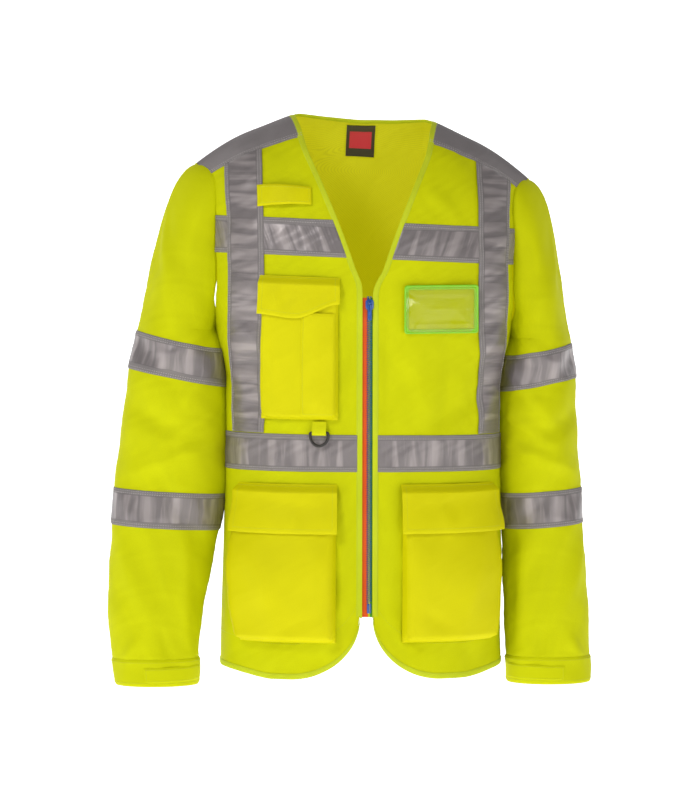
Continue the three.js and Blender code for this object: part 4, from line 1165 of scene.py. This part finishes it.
ZIP_AXES = np.array([[1, 0, 0], [0, 1, 0], [0, 0, 1]], float)
for name, sign in SIGN.items():
    cloth, finish = (ZIP_ORANGE, "zip_tape_orange") if sign < 0 else (ZIP_GREEN, "zip_tape_green")
    out = ZIP_TAPE_OUT[name]
    skin = lambda u, v: seen(1, sign * lerp(1.2, float(out), v), lerp(BOTTOM_EDGE + 1.0, TEETH_TOP + 1.0, u))
    shell = shell_part(surface(skin, lambda p: np.zeros(p.shape[:-1])), 200, 8, -3.4, -2.4, roll=(0, 1))
    tape = make_mesh(f"zip_cloth_{name}", [shell], [cloth])
    grow(PIECES, (tape, "jacket", [f"zip_tape_{name}"], finish))

    z = np.arange(TEETH_BOTTOM + PITCH * (0.5 if sign < 0 else 1.0), TEETH_TOP, PITCH)
    axes = np.tile(ZIP_AXES, (len(z), 1, 1))
    base = pebble_part(on_zip(z, sign * 2.2, -2.4), axes, (1.3, 1.8, 0.95), 0.4)
    head = pebble_part(on_zip(z, sign * 0.55, -2.4), axes, (1.1, 1.55, 0.72), 0.6)
    teeth = make_mesh(f"zip_row_{name}", [base, head], [TEETH])
    grow(PIECES, (teeth, "jacket", [f"zip_teeth_{name}"], "zip_plastic"))
    stop = pebble_part(on_zip(TEETH_TOP + 1.7, sign * 1.8, -2.4), ZIP_AXES, (1.1, 2.1, 1.3), 0.3)
    top_stop = make_mesh(f"zip_end_{name}", [stop], [TEETH])
    grow(PIECES, (top_stop, "jacket", [f"zip_stop_{name}"], "zip_plastic"))

low_middle = (ZIP_BOTTOM + TEETH_BOTTOM) / 2
box = pebble_part(on_zip(low_middle, -1.1, -2.1), ZIP_AXES, (1.8, 2.9, 6.8), 0.25, columns=32, rows=17)
pin = pebble_part(on_zip(low_middle, 2.0, -2.5), ZIP_AXES, (0.9, 1.6, 6.8), 0.3, columns=24, rows=17)
grow(PIECES, (make_mesh("zip_foot_box", [box], [BLUE]), "jacket", ["zip_box"], "zip_blue"))
grow(PIECES, (make_mesh("zip_foot_pin", [pin], [BLUE]), "jacket", ["zip_pin"], "zip_blue"))
print("teeth in the left row:", len(z))

# %% Slider and puller
SLIDER_Z, BAR_UP, BAR_LIFT = TEETH_TOP - 8, 2.5, 4.8  # the bar's place over the middle of the slider
slider_frame = frame_at(0.0, SLIDER_Z)
to_slider = in_frame(slider_frame)
at_slider = lambda x, y, h: to_slider(np.array([float(x)]), np.array([float(y)]), np.array([float(h)]))
slider_axes = np.stack([slider_frame[1], slider_frame[2], slider_frame[3]])


def soft_plate(low, high, r=0.4):
    """The profile of a plate with softened edges, from the middle of its foot to the middle of its top."""
    under = [(3.4, low), (r, low), (0.1, low + r / 2), (0, low + r)]
    return under + [(0, high - r), (0.1, high - r / 2), (r, high), (3.4, high)]


parts = [
    plate_part(to_slider, (11, 14), 3.6, soft_plate(0.9, 2.5)),
    plate_part(to_slider, (11, 14), 3.6, soft_plate(-6.6, -5.2)),
    pebble_part(at_slider(0, 4.7, -2), slider_axes, (0.36, 3.5, 2.3), 0.3),
]
for side in (-1, 1):
    post = at_slider(side * 2.3, BAR_UP, 3.9)
    parts.append(pebble_part(post, slider_axes, (0.5, 1.8, 1.15), 0.35, columns=20, rows=13))
bar = to_slider(np.linspace(-2.7, 2.7, 12), np.full(12, BAR_UP), np.full(12, BAR_LIFT))
parts.append(tube_part(bar, 0.8))
slider = make_mesh("slider_body", parts, [BLUE])
grow(PIECES, (slider, "zip_slider", ["zip_slider"], "zip_blue"))


def eye_part(sides=40):
    """The eye of the puller: a small profile of (across, radius) turned once round the bar."""
    outside = [(-1.2, 1.3), (-1.2, 1.9), (-0.9, 2.05), (0.9, 2.05), (1.2, 1.9), (1.2, 1.3)]
    profile = outside + [(0.9, 1.2), (-0.9, 1.2)]
    turn = np.linspace(0, 2 * math.pi, sides, endpoint=False)
    x = np.repeat([x for x, _ in profile], sides)
    radius = np.repeat([r for _, r in profile], sides)
    round_bar = np.tile(turn, len(profile))
    points = to_slider(x, BAR_UP + radius * np.cos(round_bar), BAR_LIFT + radius * np.sin(round_bar))
    faces = quads(len(profile), sides, wrap_rows=True)
    return outward(points, faces, points[faces][..., [0, 2]] / 1000, 0)


EYE_TO_MIDDLE = 12.8  # from the eye of the puller to the middle of its grip
hanging = lambda x, y, h: to_slider(x, y + BAR_UP - EYE_TO_MIDDLE, h + BAR_LIFT)
grip = plate_part(hanging, (5.2, 22), 2.2, soft_plate(-0.7, 0.7, 0.35))
raised = [(1.4, 0.75), (0.5, 0.75), (0.2, 0.95), (0, 0.7)]
dent = plate_part(lambda x, y, h: hanging(x, y - 4, h), (3.0, 9), 1.4, raised)
puller = make_mesh("puller_body", [eye_part(), grip, dent], [BLUE])
grow(PIECES, (puller, "zip_puller", ["zip_puller"], "zip_blue"))
print("with zip:", len(PIECES))

# %% [markdown]
# ## Pockets
# A pocket is a bag that stands off the body on its side walls. Its front is one sheet that drops steeply near
# its sewn edges, so grid lines are crowded there. A flap hangs over the mouth, its shape curving out from
# the body just below its own seam.

# %% Pocket shapes
POCKET_FOLDS = [
    (-150, -560, -120, -690, 13, 1.8), (-70, -565, -60, -695, 12, 1.4), (-110, -690, -60, -660, 11, -1.3),
    (150, -560, 118, -690, 13, 1.8), (70, -565, 62, -695, 12, 1.4), (110, -690, 64, -660, 11, -1.3),
    (-130, -300, -118, -395, 12, 1.0), (-66, -330, -70, -395, 9, 0.8), (-120, -395, -60, -380, 9, -0.7),
    (-150, -498, -60, -512, 9, 0.7), (150, -498, 60, -512, 9, 0.7), (-100, -520, -92, -555, 9, 0.9),
    (96, -515, 104, -555, 9, 0.9), (-130, -225, -116, -262, 8, 0.7), (-60, -222, -70, -250, 8, -0.5),
]


def pocket_fold(p):
    x, z = p[..., 0], p[..., 2]
    return body_fold(p) * 0.35 + 1.7 * ridges(POCKET_FOLDS, x, z) + 0.6 * wander(x, z, 17)


def crowd(t):
    """Even grid lines drawn towards both ends."""
    return t - 0.6 * np.sin(2 * math.pi * t) / (2 * math.pi)


def bag_part(x0, x1, z0, z1, foot_depth, mouth_depth, base=1.5, bulge=0.0, columns=110, rows=120):
    """The front of a bag. Its depth grows from each sewn edge over 7 mm like a quarter circle."""
    left, right = min(x0, x1), max(x0, x1)
    # The outer side swings out between foot and mouth.
    swing = lambda v: bulge * np.sin(math.pi * np.clip(v, 0, 1)) ** 0.8
    ends = (lambda v: left - swing(v) * (x0 < 0), lambda v: right + swing(v) * (x0 > 0))
    skin = lambda u, v: seen(1, lerp(ends[0](v), ends[1](v), u), lerp(float(z0), float(z1), v))
    width, height = right - left, z1 - z0

    def rise(u, v):
        from_side = np.minimum(u, 1 - u) * width
        round_edge = lambda d, reach: np.sqrt(1 - (1 - np.clip(d / reach, 0, 1)) ** 2)
        reach = 5 + 0.35 * foot_depth
        wall = np.minimum(round_edge(from_side, reach), round_edge(v * height, reach))
        corner = np.hypot(np.clip(16 - from_side, 0, 16), np.clip(16 - v * height, 0, 16))
        wall = wall * (1 - 0.75 * ease(12.5, 17.5, corner))
        swell = 0.22 * foot_depth * np.sin(math.pi * u) * np.sin(math.pi * np.clip(v, 0, 1))
        return base + wall * (lerp(float(foot_depth), float(mouth_depth), ease(0.45, 1, v)) + swell)

    place = surface(skin, pocket_fold)
    shell = shell_part(
        place, columns, rows, rise, lambda u, v: rise(u, v) + 1.6, roll=(0.0, 1),
        spread=lambda u, v: (crowd(u), 1 - np.cos(v * SIDE) ** 1.15),
    )
    return place, rise, shell


print("folds of the pockets:", len(POCKET_FOLDS))


# %% Bags and flaps
def bag(name, node, x0, x1, z0, z1, depths, bulge=0.0):
    _, _, shell = bag_part(x0, x1, z0, z1, *depths, bulge=bulge)
    piece = make_mesh(name, [shell], [POCKET, THREAD])
    grow(PIECES, (piece, "jacket", [node], "pocket_fabric"))


def flap_piece(name, node, body, x0, x1, top, long, stand, blend_from, blend_to, sag=1.2):
    """A flap: v runs down from its seam. Its free corners turn in a little towards the body."""
    left, right = min(x0, x1), max(x0, x1)
    skin = lambda u, v: seen(1, lerp(left, right, u), top - long(u) * v)

    def low(u, v):
        down = long(u) * v
        side = np.minimum(u, 1 - u) * (right - left)
        turned_in = sag * (1 - ease(0, 16, side)) * ease(5, 40, down)
        return stand(down) - turned_in

    place = surface(skin, pocket_fold)
    shell = shell_part(place, 110, 64, low, lambda u, v: low(u, v) + 1.8, roll=(0.9, 1.8))
    inset = 6.0 / (right - left)
    along = lambda t: lerp(inset, 1 - inset, t)
    high = lambda u, v: low(u, v) + 1.9
    rows = [
        stitch_part(place, lambda t: (along(t), 1 - 6.5 / long(along(t))), high, 1),
        stitch_part(place, lambda t: (inset, lerp(0.04, 0.9, t)), high, 1),
        stitch_part(place, lambda t: (1 - inset, lerp(0.04, 0.9, t)), high, 1),
        stitch_part(place, lambda t: (lerp(0.01, 0.99, t), 0.045), high, 1),
    ]
    piece = make_mesh(name, [shell, *rows], [POCKET, THREAD])
    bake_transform(piece)
    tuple(blend_from)
    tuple(blend_to)
    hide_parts(node)
    PIECES.append(piece)


print("a flap is made by", flap_piece.__name__)

# %% Lower pockets
HINGE_BAND = np.array([0, 0, 0.014])  # a height below a flap's seam, in metres; the points made from it are passed to the flap but not used
LOWER = {"inner": 43, "outer": 171, "foot": -706, "mouth": -508, "seam": -490, "long": 66}
for name, sign in SIGN.items():
    inner, outer = LOWER["inner"], LOWER["outer"]
    bag(
        f"{name}_lower_bag", f"{name}_lower_pocket", sign * (inner + 2), sign * (outer - 2),
        LOWER["foot"], LOWER["mouth"], (20, 6), bulge=10.0 if sign < 0 else 5.0,
    )
    stand = lambda down: 2 + 10 * ease(0, 12, down) + 9 * ease(12, LOWER["long"], down)
    seam = seen(1, np.array([sign * 107.0]), np.array([float(LOWER["seam"])]))[0]
    seam = hang(seam) / 1000
    flap_piece(
        f"{name}_flap", f"{name}_pocket_flap", f"{name}_pocket_flap", sign * inner, sign * outer,
        LOWER["seam"], lambda u: LOWER["long"] + 0 * u, stand, seam, seam - HINGE_BAND,
    )
print("with lower pockets:", len(PIECES))

# %% Chest pocket with a pen pocket
CHEST_BAG = (-144, -42, -403, -224)  # from side to side and from foot to mouth
CHEST_DEPTHS = (9, 5)
bag("chest_bag", "chest_pocket", *CHEST_BAG, CHEST_DEPTHS)


def pen_bag():
    """A second sheet sewn on the face of the chest pocket, from under the flap to the pocket's foot."""
    place, rise, _ = bag_part(*CHEST_BAG, *CHEST_DEPTHS)
    on_u, on_v = (lambda u: lerp(0.53, 0.965, u)), (lambda v: lerp(0.02, 0.80, v))
    sub_place = lambda u, v, lift: place(on_u(u), on_v(v), lift)
    low = lambda u, v: rise(on_u(u), on_v(v)) + 1.8 + 2.6 * np.sin(math.pi * u) ** 0.7 * ease(0, 0.15, v)
    high = lambda u, v: low(u, v) + 1.4
    shell = shell_part(sub_place, 60, 90, low, high, roll=(0.9, 2.0))
    rows = [
        stitch_part(sub_place, lambda t: (0.06, lerp(0.03, 0.97, t)), high, 1),
        stitch_part(sub_place, lambda t: (lerp(0.06, 0.94, t), 0.03), high, 1),
    ]
    return make_mesh("pen_bag", [shell, *rows], [POCKET, THREAD])


grow(PIECES, (pen_bag(), "jacket", ["pen_pocket"], "pocket_fabric"))
chest_long = lambda u: 50 + 5 * ease(0, 0.45, u) - 20 * ease(0.45, 1, u)
seam = hang(seen(1, np.array([-93.0]), np.array([-212.0]))[0]) / 1000
flap_piece(
    "chest_flap_cloth", "chest_pocket_flap", "chest_flap", -146, -40, -212.0, chest_long,
    lambda down: 2 + 8 * ease(0, 12, down) + 5 * ease(12, 60, down), seam, seam - HINGE_BAND,
)
print("with pockets:", len(PIECES))

# %% [markdown]
# ## Badge pocket, microphone tab, ring and label
# The badge pocket is a flat laminate: cloth behind, a welded frame and a clear window pressed with a raised
# rectangle. The tab for a microphone is a loop of cloth over a patch. The ring hangs in a loop of webbing.

# %% Badge pocket
BADGE = {"x": 97.5, "z": -249, "wide": 105, "high": 66}
badge_frame = frame_at(BADGE["x"], BADGE["z"])
to_badge = in_frame(badge_frame)
size = (BADGE["wide"], BADGE["high"])
back = plate_part(to_badge, size, 3.5, [(33, 1.2), (0.3, 1.2), (0, 1.5), (0, 2.1), (0.3, 2.4), (33, 2.4)])
grow(PIECES, (make_mesh("badge_cloth", [back], [HIVIS]), "jacket", ["badge_pocket_back"], "hivis_fabric"))
weld = [
    (0.4, 2.5), (0, 2.8), (0, 3.6), (0.5, 3.95), (2.4, 4.0), (2.9, 3.6), (3.4, 3.6), (3.9, 4.0), (5.4, 4.0),
    (6, 3.6), (6, 2.5),
]
border = make_mesh("badge_frame", [plate_part(to_badge, size, 4.5, weld, closed=True)], [PVC_GREEN])
grow(PIECES, (border, "jacket", ["badge_pocket_border"], "badge_border"))
press = [
    (30.9, 4.1), (0.2, 4.1), (0, 4.3), (0.2, 4.5), (9.0, 4.55), (10.0, 5.1), (10.8, 5.25), (11.6, 5.1),
    (12.6, 4.6), (16.0, 4.7), (24.0, 4.85), (30.9, 4.9),
]
# The sheet isn't quite flat, so it mirrors a light only in narrow streaks.
wavy = lambda x, y, h: to_badge(x, y, h + 1.5 * np.sin(x / 13.0 + 0.015 * y + 0.6) * (h > 4.2))
window = plate_part(wavy, (size[0] - 4, size[1] - 4), 12.0, press)
window = make_mesh("badge_clear_sheet", [window], [PVC_CLEAR])
grow(PIECES, (window, "jacket", ["badge_pocket_window"], "badge_window"))
print("with the badge pocket:", len(PIECES))

# %% Microphone tab
MIC = {"sewn": -148.0, "free": -77.0}


def mic_skin(end):
    return lambda u, v: seen(1, lerp(MIC["sewn"], end, u), lerp(lerp(-121.0, -115.0, u), -92.0, v))


shell = shell_part(surface(mic_skin(-129.0), body_fold), 24, 24, 0.4, 2.2, roll=(0.8, 1.2))
grow(PIECES, (make_mesh("mic_patch", [shell], [HIVIS]), "jacket", ["mic_tab_patch"], "hivis_fabric"))
place = surface(mic_skin(MIC["free"]), lambda p: body_fold(p) * 0.5)
mic_low = lambda u, v: 2.8 + 6 * np.sin(math.pi * u)
mic_high = lambda u, v: mic_low(u, v) + 1.7
shell = shell_part(place, 90, 34, mic_low, mic_high, roll=(0.9, 1.4))
rows = [stitch_part(place, path, mic_high, 1) for path in (
    lambda t: (lerp(0.03, 0.96, t), 0.12), lambda t: (lerp(0.03, 0.96, t), 0.88),
    lambda t: (0.96, lerp(0.12, 0.88, t)), lambda t: (0.10, lerp(0.12, 0.88, t)),
)]
tab = make_mesh("mic_strap", [shell, *rows], [POCKET, THREAD])
a, b = (hang(seen(1, np.array([x]), np.array([-105.0]))[0]) / 1000 for x in (-148.0, -137.0))
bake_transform(tab)
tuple(a)
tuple(b)
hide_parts("mic_tab")
PIECES.append(tab)
print("with the microphone tab:", len(PIECES))

# %% Ring and its loop of webbing
RING = {"wire": 1.9, "half": 12.5, "drop": 18}
to_ring = in_frame(frame_at(-67.0, -420.0, 7.0))
a = np.linspace(0, math.pi, 60)
bow = np.stack([RING["half"] * np.cos(a), -RING["drop"] * np.sin(a) ** 0.8], -1)
bar = np.stack([np.linspace(-RING["half"], RING["half"], 30)[1:-1], np.zeros(28)], -1)
path = np.concatenate([bow, bar])
for _ in range(3):
    path = (np.roll(path, 1, 0) + 2 * path + np.roll(path, -1, 0)) / 4
ring = tube_part(to_ring(path[:, 0], path[:, 1], np.zeros(len(path))), RING["wire"], closed=True, sides=20)
grow(PIECES, (make_mesh("ring_of_nylon", [ring], [NYLON]), "d_ring", ["d_ring"], "ring_plastic"))


def webbing_part():
    """A strap up from the back of the bar, round the bar and up again, as one thick line."""
    bend = lambda r: [(-r * math.cos(t), r * math.sin(t)) for t in np.linspace(-SIDE, SIDE, 16)]
    outer = [(15.0, -3.9), (4.0, -3.9)] + bend(3.9) + [(5.0, 3.6), (15.0, -1.2)]
    inner = [(15.0, -2.6), (4.0, -2.6)] + bend(2.5) + [(4.6, 2.3), (14.0, -2.4)]
    section = np.array(outer + inner[::-1])
    x = np.linspace(-9.5, 9.5, 14)
    grid = [to_ring(np.full(len(section), s), section[:, 0], section[:, 1]) for s in x]
    points = np.concatenate(grid)
    faces = quads(len(grid), len(section))
    n, half = len(section), len(outer)
    ends = []
    for first in (0, (len(grid) - 1) * n):
        k = np.arange(half - 1)
        ends.append(np.stack([first + k, first + k + 1, first + n - 2 - k, first + n - 1 - k], 1))
    ends[0] = ends[0][:, ::-1]
    faces = np.concatenate([faces, *ends])
    return outward(points, faces, points[faces][..., [0, 2]] / 1000, 0)


loop = make_mesh("ring_webbing", [webbing_part()], [WEBBING])
grow(PIECES, (loop, "jacket", ["d_ring_loop"], "webbing"))
print("with the ring:", len(PIECES))

# %% Neck label
def label_skin(u, v):
    x = lerp(-20.0, 20.0, u)
    climb = lerp(128 * DEG, NAPE + BINDING_CLIMB + 0.03, v)
    return mirror(shoulder_skin(turn_at(x), climb), np.where(x < 0, -1.0, 1.0))


shell = shell_part(surface(label_skin, body_fold), 30, 30, -3.4, -2.2, roll=(0.3, 0.8))
grow(PIECES, (make_mesh("label_of_satin", [shell], [LABEL]), "jacket", ["neck_label"], "label_fabric"))
print("pieces:", len(PIECES))

# %% [markdown]
# ## Studio
# One sheet is floor and backdrop, so no corner shows. A large soft light from the front left keeps the folds
# gentle, a tall narrow one fills in from the right, and one behind lights the back.

# %% Light, floor and camera
FLOOR_DEPTH = 0.86  # metres from the shoulders down to the floor


def studio_sheet():
    """One wide sheet that runs along the floor and bends up behind, beyond where anyone looks from."""
    bend, wall, top, half = 1.5, 7.0, 9.0, 12.0
    start = wall - bend
    turns = np.linspace(0, SIDE, 16)[1:]
    curve = [(start + bend * math.sin(t), bend * (1.0 - math.cos(t))) for t in turns]
    profile = [(-9.0, 0.0), (start, 0.0)] + curve + [(wall, top)]
    points = np.array([(x, y, z - FLOOR_DEPTH) for x in (-half, half) for y, z in profile]) * 1000
    n = len(profile)
    k = np.arange(n - 1)
    faces = np.stack([k + n, k + n + 1, k + 1, k], 1)
    return points, faces, np.zeros((len(faces), 4, 2)), 0


PAPER, _, _ = material(
    "white backdrop paper", "FFFFFF", Roughness=0.9, Emission_Color="FFFFFF", Emission_Strength=0.85
)
sheet = make_mesh("studio_sheet", [studio_sheet()], [PAPER])
sheet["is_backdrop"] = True

scene = bpy.context.scene
scene.view_settings.view_transform = "Standard"
world = bpy.data.worlds.new("studio")
world.use_nodes = True
world.node_tree.nodes["Background"].inputs["Color"].default_value = (1, 1, 1, 1)
world.node_tree.nodes["Background"].inputs["Strength"].default_value = 0.24
scene.world = world


def area_light(name, place, aim, size, power):
    data = bpy.data.lights.new(name, "AREA")
    data.shape, data.energy = "RECTANGLE", power
    data.size, data.size_y = size
    light = bpy.data.objects.new(name, data)
    light.location = place
    way = Vector(aim) - Vector(place)
    light.rotation_euler = way.to_track_quat("-Z", "Y").to_euler()
    scene.collection.objects.link(light)


area_light("key", (-1.7, -2.4, 1.5), (0, 0, -0.35), (0.8, 0.8), 34)
area_light("back", (-0.9, 3.2, 1.0), (0, 0, -0.35), (1.4, 1.4), 16)
area_light("fill", (1.2, -3.0, 0.0), (0, 0, -0.4), (0.22, 1.7), 9)

CAMERA_TURN, CAMERA_RISE, CAMERA_FAR = 3.5 * DEG, 2.5 * DEG, 5.0
target = np.array([-0.018, 0.0, -0.381])
camera_data = bpy.data.cameras.new("camera")
camera_data.lens, camera_data.sensor_fit = 161.8, "VERTICAL"
camera_data.sensor_height = 36
camera = bpy.data.objects.new("camera", camera_data)
level = CAMERA_FAR * math.cos(CAMERA_RISE)
camera.location = target + np.array(
    [-level * math.sin(CAMERA_TURN), -level * math.cos(CAMERA_TURN), CAMERA_FAR * math.sin(CAMERA_RISE)]
)
camera.rotation_euler = (SIDE - CAMERA_RISE, 0, -CAMERA_TURN)
scene.collection.objects.link(camera)
scene.camera = camera
print("lens, mm:", camera_data.lens)

# %% Sizes, then the end
visual_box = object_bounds()
plain = lambda corners: [[float(n) for n in corner] for corner in corners]
{"cad": plain(cad_box), "visual": plain(visual_box)}
print("CAD box:", plain(cad_box))
print("visual box:", plain(visual_box))
